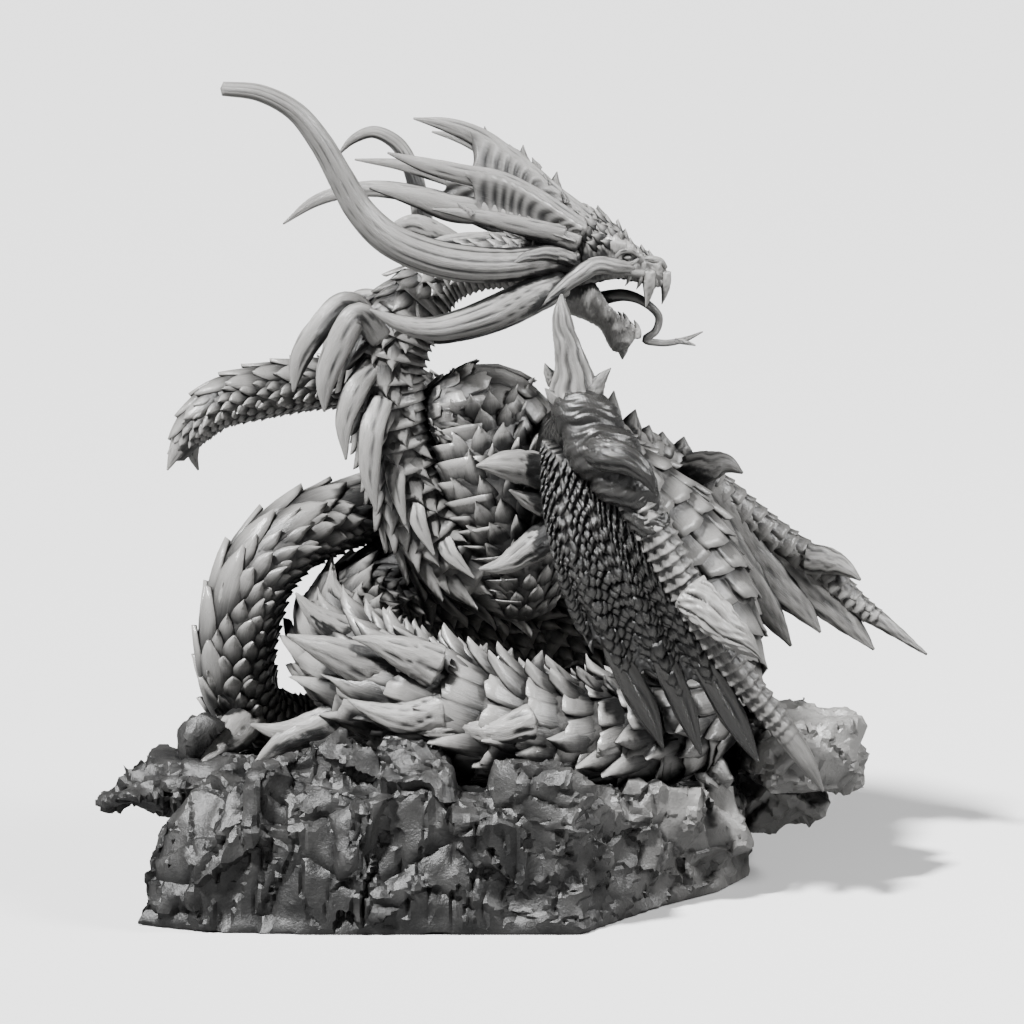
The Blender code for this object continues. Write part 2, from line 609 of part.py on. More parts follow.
def thinned(solid, most):
    """Takes out the facets that shape a solid least, until about `most` triangles are left."""
    shape = bmesh.new()
    shape.from_mesh(solid.data)
    # A corner between two faces alone would give both of them the same new edge past it.
    idle = [vert for vert in shape.verts if len(vert.link_edges) == 2]
    bmesh.ops.dissolve_verts(shape, verts=idle)
    bmesh.ops.triangulate(shape, faces=shape.faces)
    untangle(shape)
    while len(shape.faces) > most:
        shape.verts.index_update()
        ranked = []
        for edge in shape.edges:
            for gone in edge.verts:
                kept = edge.other_vert(gone)
                loss = collapse_loss(gone, kept)
                if loss is not None:
                    ranked.append((loss, gone.index, kept.index, gone, kept))
        ranked.sort(key=lambda item: item[:3])
        touched, moves = set(), {}
        for _, _, _, gone, kept in ranked[: len(ranked) // 8]:
            if gone in touched or kept in touched or 2 * len(moves) >= len(shape.faces) - most:
                continue
            moves[gone] = kept
            for vert in (gone, kept):
                touched.update(edge.other_vert(vert) for edge in vert.link_edges)
        if not moves:
            break
        bmesh.ops.weld_verts(shape, targetmap=moves)
        shape.normal_update()
    spread(shape, CORNER_GAP)
    shape.to_mesh(solid.data)
    shape.free()


def resin(name, colour, roughness):
    """A plain grey casting resin."""
    material = bpy.data.materials.new(name)
    material.use_nodes = True
    shader = material.node_tree.nodes["Principled BSDF"]
    shader.inputs["Base Color"].default_value = colour
    shader.inputs["Roughness"].default_value = roughness
    shader.inputs["Metallic"].default_value = 0.0
    return material


def body_pieces(material):
    """The serpent's neck, torso, coil and tail."""
    pieces = [
        plated("neck", NECK, material, 13),
        plated("column", COLUMN, material, 6),
        plated("back", BACK, material, 9),
        plated("coil", COIL, material, 14),
        plated("tail", TAIL, material, 20, sides=8, step=0.1),
        plated("tail_end", TAIL_END, material, 10, sides=8, step=0.1),
    ]
    pieces += [horn(f"tail_prong_{k}", rows, material) for k, rows in enumerate(TAIL_PRONGS)]
    pieces += [horn(f"tail_fin_{k}", rows, material, flat=0.5) for k, rows in enumerate(TAIL_FIN)]
    pieces += [horn(f"mane_{k}", rows, material, flat=0.6) for k, rows in enumerate(MANE)]
    pieces += [horn(f"breast_spur_{k}", rows, material) for k, rows in enumerate(BREAST_SPURS)]
    pieces += [horn(f"coil_spur_{k}", rows, material) for k, rows in enumerate(COIL_SPURS)]
    pieces += [thorn(f"coil_peak_{k}", row, material) for k, row in enumerate(COIL_PEAKS + RIDGE_PEAKS)]
    return pieces


def head_pieces(material):
    """The open-mouthed head with its horns, crest, fangs and tongue."""
    pieces = [
        stations("skull", SKULL, material, SKULL_PROFILE),
        stations("jaw", JAW, material, JAW_PROFILE),
        horn("chin_spur", CHIN_SPUR, material, 6, 4),
        horn("tongue", TONGUE, material, 6, 16),
        horn("tongue_fork", TONGUE_FORK, material, 5, 4),
        horn("great_horn", GREAT_HORN, material, 8, 15),
        horn("far_great_horn", FAR_GREAT_HORN, material, 6, 11),
    ]
    for name, rows, rings in (
        ("lower_horn", LOWER_HORN, 9),
        ("cheek_horn", CHEEK_HORN, 7),
        ("temple_spur", TEMPLE_SPUR, 5),
    ):
        pieces.append(horn(f"{name}_near", rows, material, 7, rings))
        pieces.append(horn(f"{name}_far", mirrored(rows), material, 7, rings))
    for side, tines in (("near", NEAR_TINES), ("far", FAR_TINES)):
        pieces += [horn(f"tine_{side}_{k}", rows, material, 6, 7, 0.7) for k, rows in enumerate(tines)]
        webs = [(tines[0], tines[1], 0.72, 0.62), (tines[1], tines[2], 0.62, 0.54)]
        pieces += web(f"crest_{side}", webs, material, 3.0)
    pieces += web("crest_top", [(NEAR_TINES[0], FAR_TINES[0], 0.6, 0.6)], material, 4.0)
    pieces += [thorn(f"head_thorn_{k}", row, material) for k, row in enumerate(HEAD_THORNS)]
    for k, row in enumerate(UPPER_FANGS + LOWER_FANGS):
        pieces += fang(f"fang_{k}", row, material)
    return pieces


def wing_pieces(material):
    """Both wings: arm, thumb, long finger, spurs, scaled fingers and the webs between them."""
    pieces = [
        plated("sleeve", [(*row, -0.6, -0.8, 0) for row in SLEEVE], material, 7, 8, 0.06, 0.1),
        horn("shoulder", SHOULDER, material, 8, 4),
        horn("far_shoulder", FAR_SHOULDER, material, 8, 3),
        horn("thumb", THUMB, material, 7, 7),
        horn("wrist_spur", WRIST_SPUR, material, 6, 5),
        plated("long_finger", [(*row, 0.5, -0.8, 0.3) for row in LONG_FINGER], material, 11, 6, 0.08, 0.1),
        horn("finger_spur", FINGER_SPUR, material, 6, 5),
        plated("far_arm", [(*row, 0.3, -0.5, 0.8) for row in FAR_ARM], material, 13, 6, 0.09, 0.2),
    ]
    pieces += [thorn(f"collar_thorn_{k}", row, material) for k, row in enumerate(COLLAR_THORNS)]
    pieces += [thorn(f"far_thorn_{k}", row, material) for k, row in enumerate(FAR_THORNS)]
    pieces += [horn(f"near_finger_{k}", rows, material, 6, 7, 0.6) for k, rows in enumerate(NEAR_FINGERS)]
    pieces += [horn(f"far_finger_{k}", rows, material, 6, 7, 0.5) for k, rows in enumerate(FAR_FINGERS)]
    pieces += [horn(f"far_spur_{k}", rows, material, 6, 5) for k, rows in enumerate(FAR_SPURS)]
    near = [*NEAR_FINGERS, LONG_FINGER]
    far = [*FAR_FINGERS, FAR_ARM[2:]]
    pieces += web("near_web", [(near[k], near[k + 1], 0.74, 0.74) for k in range(3)], material, 4.0)
    pieces += web("far_web", [(far[k], far[k + 1], 0.74, 0.74) for k in range(3)], material, 3.0)
    return pieces


def boulder(name, centre, size, seed, material, points=16, turn=0.0):
    """An angular rock: the hull of seeded points on a rounded block."""
    dice = random.Random(seed)
    corners = []
    for _ in range(points):
        way = Vector([dice.gauss(0, 1) for _ in range(3)]).normalized()
        blocky = Vector([math.copysign(abs(c) ** 0.55, c) for c in way])
        local = Vector([c * s / 2 * dice.uniform(0.86, 1.0) for c, s in zip(blocky, size)])
        turned = Vector((
            local.x * math.cos(turn) - local.y * math.sin(turn),
            local.x * math.sin(turn) + local.y * math.cos(turn),
            local.z,
        ))
        corners.append(rock_point(*(Vector(centre) + turned)))
    return hull(name, corners, material)


def hull(name, corners, material):
    """The closed convex hull of some points."""
    shape = bmesh.new()
    for corner in corners:
        shape.verts.new(corner)
    made = bmesh.ops.convex_hull(shape, input=shape.verts)
    loose = {v for v in made["geom_interior"] if isinstance(v, bmesh.types.BMVert)}
    bmesh.ops.delete(shape, geom=list(loose), context="VERTS")
    points = [v.co.copy() for v in shape.verts]
    shape.verts.index_update()
    faces = [[v.index for v in face.verts] for face in shape.faces]
    shape.free()
    return mesh_object(name, points, faces, material)


# The rock's foot and shoulder outlines, as x and y, and the height of each ring.
ROCK_RINGS = [
    (0.0, 1.0),
    (20.0, 0.98),
    (42.0, 0.95),
    (55.0, 0.86),
]
ROCK_OUTLINE = [
    (-146, -60), (-122, -74), (-80, -77), (-30, -77), (28, -76), (43, -54), (60, -34), (84, -8),
    (95, 18), (91, 44), (66, 66), (20, 80), (-40, 78), (-92, 58), (-116, 24), (-128, -10), (-138, -40),
]
# Boulders: centre, size, seed and turn in degrees.
BOULDERS = [
    ((-114, -46, 18), (56, 52, 42), 3, 10),
    ((-124, -12, 42), (76, 66, 36), 8, -14),
    ((-150, -14, 40), (40, 30, 12), 12, 12),
    ((-121, -2, 58), (28, 22, 34), 5, 20),
    ((-88, -56, 44), (46, 44, 52), 21, 5),
    ((-62, -62, 34), (50, 36, 66), 34, -8),
    ((-66, -54, 60), (36, 26, 44), 17, 15),
    ((-38, -62, 42), (40, 32, 74), 9, -10),
    ((-12, -66, 30), (48, 34, 60), 41, 8),
    ((14, -60, 44), (52, 42, 68), 27, -18),
    ((20, -58, 24), (44, 36, 48), 13, 6),
    ((54, -26, 32), (50, 44, 58), 31, 24),
    ((76, -4, 32), (40, 50, 58), 19, 10),
    ((114, 15, 56), (58, 70, 43), 7, 14),
    ((103, 32, 40), (62, 56, 50), 45, -12),
    ((118, 20, 62), (36, 44, 22), 23, 30),
    ((74, 52, 32), (54, 48, 60), 29, 0),
    ((30, 66, 32), (74, 44, 60), 11, 12),
    ((-30, 68, 32), (70, 40, 62), 37, -6),
    ((-84, 54, 36), (64, 50, 64), 2, 16),
]


def rock_pieces(material):
    """The mound of the rock and its boulders."""
    loops = []
    for height, share in ROCK_RINGS:
        dice = random.Random(int(height))
        loops.append([
            rock_point(x * share * dice.uniform(0.96, 1.03), y * share * dice.uniform(0.96, 1.03), height)
            for x, y in ROCK_OUTLINE
        ])
    ends = (rock_point(0, 0, -4), rock_point(0, 0, 57))
    pieces = [mesh_object("mound", *skin(loops, ends), material)]
    for index, (centre, size, seed, turn) in enumerate(BOULDERS):
        pieces.append(boulder(f"boulder_{index}", centre, size, seed, material, turn=math.radians(turn)))
    return pieces


def cut_by(target, cutters):
    """Takes the cutters' space out of a solid and removes them."""
    group = bpy.data.collections.new("cutters")
    for cutter in cutters:
        group.objects.link(cutter)
    cut = target.modifiers.new("Cut", "BOOLEAN")
    cut.operation = "DIFFERENCE"
    cut.operand_type = "COLLECTION"
    cut.collection = group
    graph = bpy.context.evaluated_depsgraph_get()
    mesh = bpy.data.meshes.new_from_object(target.evaluated_get(graph))
    target.modifiers.clear()
    target.data = mesh
    for cutter in cutters:
        bpy.data.objects.remove(cutter)
    bpy.data.collections.remove(group)


# Where the tail turns out from under the coil, which the rock leaves free.
TAIL_TURN = [(20, 106, 38, 17), (20, 88, 35, 19), (10, 78, 31, 17), (-8, 80, 29, 15)]


def bed_cutters(material):
    """What the rock makes room for: the parts of the dragon that lie in or near it."""
    gap = SEAT_GAP
    cutters = [
        smooth_body("bed_back", BACK[2:], material, 10, grow=gap + 0.0045),
        smooth_body("bed_coil", COIL, material, 20, grow=gap + 0.0005),
        smooth_body("bed_tail", TAIL[:11], material, 20, grow=gap + 0.0005, swell=0.1),
    ]
    near = COIL_SPURS + TAIL_FIN + NEAR_FINGERS + [LONG_FINGER, FINGER_SPUR, TAIL_TURN]
    for index, rows in enumerate(near):
        cutters.append(horn(f"bed_{index}", rows, material, 8, 10, grow=gap + 0.0012))
    return cutters


def foot_cutter(material):
    """A block under the foot, which cuts the rock's underside flat."""
    reach = 0.3
    corners = [
        Vector((x, y, z)) for x in (-reach, reach) for y in (-reach, reach) for z in (-reach, 0.0)
    ]
    return hull("foot_cutter", corners, material)


def keep_largest(target):
    """Drops chips that a cut has left loose from the rest."""
    shape = bmesh.new()
    shape.from_mesh(target.data)
    left, groups = set(shape.faces), []
    while left:
        group, front = [], [left.pop()]
        while front:
            face = front.pop()
            group.append(face)
            near = {other for edge in face.edges for other in edge.link_faces} & left
            left -= near
            front += near
        groups.append(group)
    groups.sort(key=len)
    bmesh.ops.delete(shape, geom=[face for group in groups[:-1] for face in group], context="FACES")
    shape.to_mesh(target.data)
    shape.free()


def main():
    for old in list(bpy.data.objects):
        bpy.data.objects.remove(old)
    grey = resin("dragon_resin", RESIN_GREY, 0.42)
    stone = resin("rock_resin", ROCK_GREY, 0.5)
    dragon = fused("dragon", body_pieces(grey) + head_pieces(grey) + wing_pieces(grey))
    keep_largest(dragon)
    thinned(dragon, DRAGON_FACETS)
    keep_largest(dragon)
    rock = fused("rock_base", rock_pieces(stone))
    cut_by(rock, bed_cutters(stone) + [foot_cutter(stone)])
    keep_largest(rock)


main()
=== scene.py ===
"""The looks of a cast resin statue: a horned, winged serpent dragon coiled on a broken rock."""

import json
import math
import random

import bmesh
import bpy
import numpy as np
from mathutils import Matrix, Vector
from mathutils.noise import noise, voronoi

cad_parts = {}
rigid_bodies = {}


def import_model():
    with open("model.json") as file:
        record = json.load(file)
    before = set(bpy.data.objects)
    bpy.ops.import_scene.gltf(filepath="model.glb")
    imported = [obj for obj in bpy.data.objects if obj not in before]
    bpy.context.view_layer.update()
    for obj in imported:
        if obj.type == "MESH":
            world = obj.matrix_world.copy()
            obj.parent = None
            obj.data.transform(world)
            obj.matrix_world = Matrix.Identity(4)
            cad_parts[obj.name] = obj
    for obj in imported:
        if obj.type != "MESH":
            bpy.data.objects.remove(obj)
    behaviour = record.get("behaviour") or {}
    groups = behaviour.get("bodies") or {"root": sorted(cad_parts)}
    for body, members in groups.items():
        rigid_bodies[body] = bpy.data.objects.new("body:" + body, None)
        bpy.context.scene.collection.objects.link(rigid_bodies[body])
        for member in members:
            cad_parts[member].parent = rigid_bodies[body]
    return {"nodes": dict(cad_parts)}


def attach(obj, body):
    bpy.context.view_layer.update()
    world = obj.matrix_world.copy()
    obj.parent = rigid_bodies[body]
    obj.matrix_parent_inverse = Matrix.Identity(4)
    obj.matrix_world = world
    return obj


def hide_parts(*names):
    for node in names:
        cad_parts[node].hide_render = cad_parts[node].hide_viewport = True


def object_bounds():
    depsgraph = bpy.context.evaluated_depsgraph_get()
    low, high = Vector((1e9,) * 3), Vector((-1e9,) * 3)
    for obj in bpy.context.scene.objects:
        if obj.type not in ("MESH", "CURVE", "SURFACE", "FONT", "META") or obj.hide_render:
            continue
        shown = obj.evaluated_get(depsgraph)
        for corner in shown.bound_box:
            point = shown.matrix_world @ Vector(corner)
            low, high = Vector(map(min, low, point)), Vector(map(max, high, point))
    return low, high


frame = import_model()
cad_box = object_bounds()
bpy.ops.object.select_all(action="DESELECT")

MM = 0.001
DEG = math.pi / 180

# The pose drawing, as in the part's source: u runs right, v up, back away from the viewer.
DRAGON_HEIGHT = 0.270
SEAT_HEIGHT = 0.055
SHEET_TILT = 12 * DEG
SEAT_LINE = 70.0
UNIT = DRAGON_HEIGHT / 270.0

# Sizes of the finish.
TO_VIEWER = (0.0, -1.0, 0.0)
STREAKS_AROUND = 6.0
STREAK_RUN = 10 * MM
SCALE_SKIRT = 0.5
SCALE_SINK = 0.35
ROCK_VOXEL = 1.35 * MM
ROCK_KEPT = 0.36
ROCK_EDGE = 26 * DEG
# How far in front of a place other parts shade it, in millimetres, and how much each counts.
LOOK_OUT = ((5, 0.7), (8, 1.0), (12, 1.0), (17, 0.8), (23, 0.6))

# The camera.
LENS = 300.0
SENSOR = 36.0
FRAME_WIDTH = 0.4096

# Spines of the body: u, v, back, radius and the way the back of the animal faces there.
NECK = [
    (24, 269, 4, 10.5, 0.2, 0.3, 1), (6, 267, 10, 10, 0, 0.2, 1), (-12, 266, 14, 9.5, -0.2, 0.2, 1),
    (-27, 261.5, 15, 11, -0.5, 0.2, 0.9), (-39, 251, 12, 13.5, -0.8, 0.1, 0.6),
    (-47, 238, 9, 15, -1, 0, 0.4), (-51, 223, 6, 15, -1, -0.2, 0.1),
    (-48.5, 204, 5, 14.5, -1, -0.3, -0.1), (-43, 184, 5, 15.5, -1, -0.4, -0.4),
    (-35, 165, 6, 17, -0.8, -0.4, -0.7), (-19, 149, 8, 18.5, -0.4, -0.3, -1),
    (1, 143, 12, 18.5, 0.2, 0, -1),
]
COLUMN = [
    (3, 130, 10, 15, 0.9, 0.1, 0), (2, 146, 7, 18.5, 0.9, 0.1, 0), (-3, 166, 5, 21.5, 1, 0, 0),
    (-9, 186, 6, 22.5, 1, 0, 0), (-13, 205, 10, 19.5, 1, 0, 0),
]
BACK = [
    (-22, 205, 10, 18.5, 0.1, -0.4, 1), (-11, 206.5, 13, 20, 0.1, -0.4, 1),
    (5, 191, 16, 19.5, 0.3, -0.5, 1), (24, 183, 20, 21, 0.4, -0.6, 1),
    (40, 173, 23, 24, 0.5, -0.8, 0.8), (56, 157, 24, 26, 0.6, -0.9, 0.5),
    (68, 135, 21, 27.5, 0.7, -0.8, 0.3), (74, 112, 15, 26.5, 0.9, -0.5, 0.1),
    (75, 93, 8, 24.5, 0.9, -0.2, 0),
]
COIL = [
    (76, 92, 6, 23, 0.6, -0.5, 0.5), (57, 81, -8, 24.5, 0.4, -0.6, 0.6),
    (32, 76, -20, 24, 0, -0.8, 0.6), (3, 80, -29, 23.5, -0.1, -0.9, 0.5),
    (-25, 88, -32, 23.5, -0.4, -0.8, 0.6), (-51, 99, -25, 22.5, -0.8, -0.4, 0.6),
    (-66, 113, -6, 21, -0.9, 0, 0.6), (-63, 126, 17, 20, -0.6, 0.3, 0.9),
    (-47, 134, 34, 19, 0, 0.2, 1), (-26, 133, 41, 18, 0.2, 0, 1), (-4, 127, 43, 17.5, 0.4, 0, 1),
    (16, 119, 44, 18, 0.8, 0, 0.7), (29, 104, 42, 17, 1, 0, 0.2), (26, 90, 37, 14.5, 1, 0, -0.4),
    (15, 82, 32, 13, 0.8, 0, -0.6),
]
TAIL = [
    (16, 84, 32, 12.5, 0, 0.5, -1), (-6, 83, 29, 14, 0, 0.5, -1), (-35, 82, 31, 14, 0, 0.5, -1),
    (-64, 80, 36, 14, 0, 0.6, -1), (-90, 79, 34, 14, -0.3, 0.5, -1),
    (-105, 86, 24, 14, -0.8, 0.2, -0.5), (-111, 104, 14, 15, -1, -0.1, -0.1),
    (-108.5, 126, 8, 15.5, -1, -0.1, 0.1), (-100.5, 145.5, 8, 15, -0.9, -0.1, 0.6),
    (-87, 158, 14, 14.5, -0.5, -0.1, 1), (-69, 165.5, 25, 13.5, -0.2, 0, 1),
    (-51, 171, 37, 12.5, -0.1, 0, 1), (-34, 184, 46, 11, -0.3, -0.2, 0.8),
    (-22, 195, 50, 10, -0.6, -0.4, 0.4),
]
TAIL_END = [
    (-20, 188, 51, 9.5, 0, -1, 0.3), (-25, 205, 52, 9.5, 0.3, -0.6, 0.7),
    (-39, 215, 49, 9.5, 0.1, -0.1, 1), (-56, 219, 43, 9.5, 0, 0, 1), (-77, 219, 33, 10, 0, 0, 1),
    (-100, 215.5, 24, 10.5, -0.2, -0.1, 1), (-120, 208.5, 16, 9, -0.7, -0.1, 0.9),
    (-129.5, 198, 12, 6.5, -0.9, -0.1, 0.4), (-134, 189, 10, 2.8, -0.9, -0.1, 0.4),
]

# Horns. Each row is u, v, back and radius.
GREAT_HORN = [
    (25, 268, -6, 5), (13, 267, -12, 6), (-1, 265, -19, 6.8), (-17, 265, -26, 7.4),
    (-33, 268, -31, 7.2), (-49, 275, -34, 6.5), (-60, 286, -36, 5.8), (-67, 298, -38, 5.2),
    (-75, 312, -40, 4.6), (-85, 324, -42, 4.0), (-99, 331, -44, 3.4), (-113, 332.5, -45, 2.8),
]
FAR_GREAT_HORN = [
    (20, 267, 18, 5), (-4, 266, 30, 5.2), (-22, 270, 37, 5), (-34, 278, 41, 4.5), (-37, 291, 44, 4),
    (-40, 304, 46, 3.5), (-47, 316, 48, 3), (-56, 320, 49, 2.5), (-64, 317, 50, 1.8),
    (-70, 311, 51, 0.4),
]
LOWER_HORN = [
    (20, 258, -10, 5.5), (8, 253, -17, 6.8), (-5, 247, -23, 6.8), (-19, 242, -28, 5.8),
    (-33, 239.5, -31, 4.6), (-45, 242, -32, 3.2), (-56, 247, -32, 0.5),
]
CHEEK_HORN = [
    (47, 264, -9, 2.4), (41, 264.5, -13, 3.2), (33, 264.5, -16, 3.5), (25, 260, -18, 3.1),
    (17, 253.5, -20, 2.1), (10, 247, -21, 0.4),
]
TEMPLE_SPUR = [(24, 267, -11, 3.2), (14, 269.5, -17, 3), (6, 268, -22, 2.1), (-1, 264.5, -25, 0.4)]
# The crest's three tines, top to bottom, on the near side and on the far one.
NEAR_TINES = [
    [
        (31, 281, -4, 5), (18, 291, -7, 4.6), (5, 302, -9, 4.6), (-5, 309.5, -10, 4.6),
        (-15, 316, -11, 4.2), (-24, 319.5, -12, 3.2), (-39, 322.6, -12, 0.4),
    ],
    [
        (28, 278, -8, 5), (9, 290.5, -14, 4.8), (-5, 297.5, -18, 4.4), (-20, 300.5, -21, 4),
        (-33, 303.5, -23, 3.2), (-49, 308.6, -24, 0.4),
    ],
    [
        (26, 274, -9, 5), (8, 279.5, -15, 4.6), (-12, 285.5, -20, 5.2), (-24, 287, -23, 5.6),
        (-36, 290.5, -26, 4.2), (-56, 294.5, -31, 0.4),
    ],
]
FAR_TINES = [
    [
        (33, 281, 6, 4.5), (10, 298, 15, 4), (-6, 309, 19, 3.4), (-20, 316, 22, 2.2),
        (-32, 319, 24, 0.4),
    ],
    [
        (28, 280, 9, 4.5), (6, 290, 20, 4), (-20, 299, 28, 3.4), (-43, 306, 33, 2.6),
        (-63, 308.5, 36, 0.4),
    ],
    [
        (24, 274, 9, 4.5), (0, 280, 22, 4.2), (-32, 293, 31, 3.8), (-62, 296.5, 36, 3.2),
        (-79, 292, 39, 2.4), (-92, 283, 41, 0.4),
    ],
]
TONGUE = [
    (29, 250, 0, 3.2), (37, 252.5, 0, 2.8), (45, 253.5, 0, 2.4), (53, 250.5, 0, 1.8),
    (58.5, 244.5, 0, 1.6), (57, 239, 0, 1.6), (53, 236, 0, 1.5), (60, 234.5, 0, 1.4),
    (69, 236, 0, 1.1), (76, 239, 0, 0.3),
]
TONGUE_FORK = [(65, 235.5, 0, 1.1), (70, 234.5, -1.5, 0.9), (73, 233.5, -3, 0.3)]

# Stations of the head, back to front. Each row is the u and v of its top, the u and v of its
# underside, its depth and its half width.
SKULL = [
    (16, 280, 19, 256, 3, 8.5), (27, 290, 28, 257, 2, 11.5), (36, 285, 36, 259, 1, 12.5),
    (43, 280, 42.5, 260, 0, 11.5), (49, 273.5, 48, 259, 0, 9.5), (54.5, 270, 54, 257.5, -0.5, 7.5),
    (59, 267.5, 58.5, 256.5, -1, 6), (61.5, 263, 61.5, 257.5, -1, 3.5),
]
JAW = [
    (24, 262, 20, 247, 2, 8), (32, 259, 29, 243.5, 1, 9), (39, 249, 35, 240, 0, 8),
    (46, 243, 41, 231, -0.5, 6.5), (51, 239, 46, 232, -1, 4),
]
CHIN_SPUR = [(43, 236, -0.5, 4), (44, 232, -0.5, 2.4), (44, 228, -0.5, 0.3)]
# Half outlines of their sections, as shares of the half width and height, from the top down.
SKULL_PROFILE = [
    (0, 1), (0.5, 0.86), (0.86, 0.5), (0.96, 0), (1, -0.55), (0.9, -1), (0.6, -0.72), (0, -0.5),
]
JAW_PROFILE = [(0, 0.4), (0.55, 0.5), (0.85, 1), (1, 0.5), (0.9, -0.3), (0.5, -0.9), (0, -1)]
# Fangs as u, v, back, length and radius, the points going down from the lip or up from the jaw.
HEAD_THORNS = [
    (36, 283, 0, 34, 289, 3), (17.5, 294, -6, 17.8, 302, 3), (5.5, 303, -8, 4.4, 312.4, 3.2),
    (-9, 313.5, -9, -10.8, 319.6, 2.4),
]

# Spikes of the mane, down the back of the neck.
MANE = [
    [
        (-53, 242, 4, 4.6), (-66, 250, 0, 5.2), (-77, 240, -4, 5), (-85, 226, -7, 3.8),
        (-87, 215, -8, 0.5),
    ],
    [
        (-52, 236, -6, 5), (-61, 245, -11, 5.6), (-69, 233, -15, 5.4), (-74, 218, -17, 4),
        (-74.5, 207, -17, 0.5),
    ],
    [(-55, 226, -6, 4.5), (-62, 216, -14, 5.2), (-66.5, 203, -18, 3.8), (-66, 188, -19, 0.5)],
    [(-52, 212, -10, 5), (-56, 198, -18, 5.2), (-56.5, 184, -21, 4.2), (-54, 167.5, -22, 0.5)],
    [(-47, 192, -4, 4), (-46, 178, -13, 3.8), (-42.5, 162, -16, 0.5)],
    [(-40, 176, -6, 4), (-37, 163, -14, 3.6), (-31, 150, -17, 0.5)],
    [(-30, 162, -6, 4), (-24, 150, -14, 3.4), (-15, 141, -17, 0.5)],
    [(-48, 250, 16, 4.4), (-60, 252, 22, 4.6), (-70, 243, 26, 4), (-76, 232, 28, 0.5)],
]
# The two great spurs at the breast, and their smaller ones.
BREAST_SPURS = [
    [(22, 178, -12, 8), (8, 184, -22, 7.5), (-5, 186, -28, 5), (-14, 185.5, -31, 0.5)],
    [(20, 168, -12, 6), (8, 172, -22, 4.6), (-1, 176, -27, 0.5)],
    [(18, 160, -14, 8), (6, 152, -23, 6), (-4, 146, -29, 3.6), (-13, 144.5, -31, 0.5)],
]
# Spurs of the coil: root, middle and tip, as horns.
COIL_SPURS = [
    [(-44, 102, -36, 11), (-62, 108, -42, 8.5), (-77, 114, -44, 4.6), (-89, 118.5, -44, 0.5)],
    [(-56, 116, -22, 8), (-70, 121, -26, 6), (-80, 128, -27, 3.4), (-86, 135, -27, 0.5)],
    [(-58, 122, -8, 7.5), (-66, 130, -10, 5.4), (-71, 137, -10, 3), (-72, 143.5, -9, 0.5)],
    [(-50, 128, 8, 6.5), (-58, 136, 8, 4), (-65, 144.5, 10, 0.5)],
    [(-30, 106, -50, 9), (-44, 112, -52, 6.5), (-55, 116, -52, 3), (-63, 117.5, -51, 0.5)],
    [(-28, 88, -52, 8), (-46, 86, -54, 6), (-57, 89.5, -53, 3), (-65, 93, -51, 0.5)],
    [(-14, 84, -50, 6), (-32, 81, -54, 4), (-45, 84, -54, 0.5)],
    [(8, 84, -50, 7.5), (-8, 80, -54, 5.6), (-19, 82.5, -54, 2.8), (-28, 87, -52, 0.5)],
]
COIL_PEAKS = [(-12, 104, -30, -10, 115, 5), (-2, 102, -26, 0, 113, 5), (10, 100, -22, 12, 112, 5)]
RIDGE_PEAKS = [
    (-47, 148, 32, -47, 156, 5), (-38, 147, 36, -35, 153, 4.4), (-56, 143, 26, -60, 150, 4.4),
    (-27, 145, 38, -23, 151, 4),
]

# The near wing is folded down over the breast. Its sleeve runs from the wrist to the long finger.
SLEEVE = [
    (22, 216, -30, 7), (25, 211, -34, 11), (29, 203, -38, 14), (36, 191, -42, 15),
    (44, 180, -45, 13), (51, 170, -47, 9.5), (56, 160, -48, 8),
]
SHOULDER = [(22, 190, 14, 19), (26, 194, -6, 16), (31, 195, -24, 13), (34, 193, -38, 9)]
FAR_SHOULDER = [(24, 188, 22, 16), (36, 189, 36, 12), (52, 189, 47, 9)]
THUMB = [
    (25, 214, -33, 10), (24, 224, -34, 6.5), (21, 236, -34, 4.4), (19.5, 246, -33, 3),
    (19.5, 253, -32, 0.5),
]
COLLAR_THORNS = [(32, 214, -38, 39, 224, 4), (20, 210, -38, 13, 216, 4), (16, 220, -30, 13, 226, 3)]
LONG_FINGER = [
    (48, 176, -46, 8.5), (56, 160, -48, 7.5), (68, 138, -48, 7), (80, 118, -46, 6.4),
    (94, 98, -44, 5.6), (107, 82, -42, 4.8), (117, 68, -40, 3.6), (124, 56, -38, 0.5),
]
FINGER_SPUR = [(70, 136, -52, 8), (82, 124, -58, 7.2), (92, 115, -60, 4.4), (98, 109.5, -60, 0.5)]
NEAR_FINGERS = [
    [
        (20, 190, -34, 8), (23, 162, -38, 10), (33, 130, -42, 9.5), (44, 106, -44, 8),
        (54, 87, -45, 4.6), (60, 73.5, -45, 0.5),
    ],
    [
        (30, 184, -38, 8), (40, 156, -42, 9), (52, 128, -45, 8.5), (62, 104, -46, 7),
        (70, 85, -46, 4), (75, 71, -46, 0.5),
    ],
    [
        (38, 180, -42, 8), (50, 154, -45, 8.5), (64, 128, -46, 8), (78, 103, -46, 7),
        (90, 82, -45, 4.6), (98, 67.5, -44, 0.5),
    ],
]
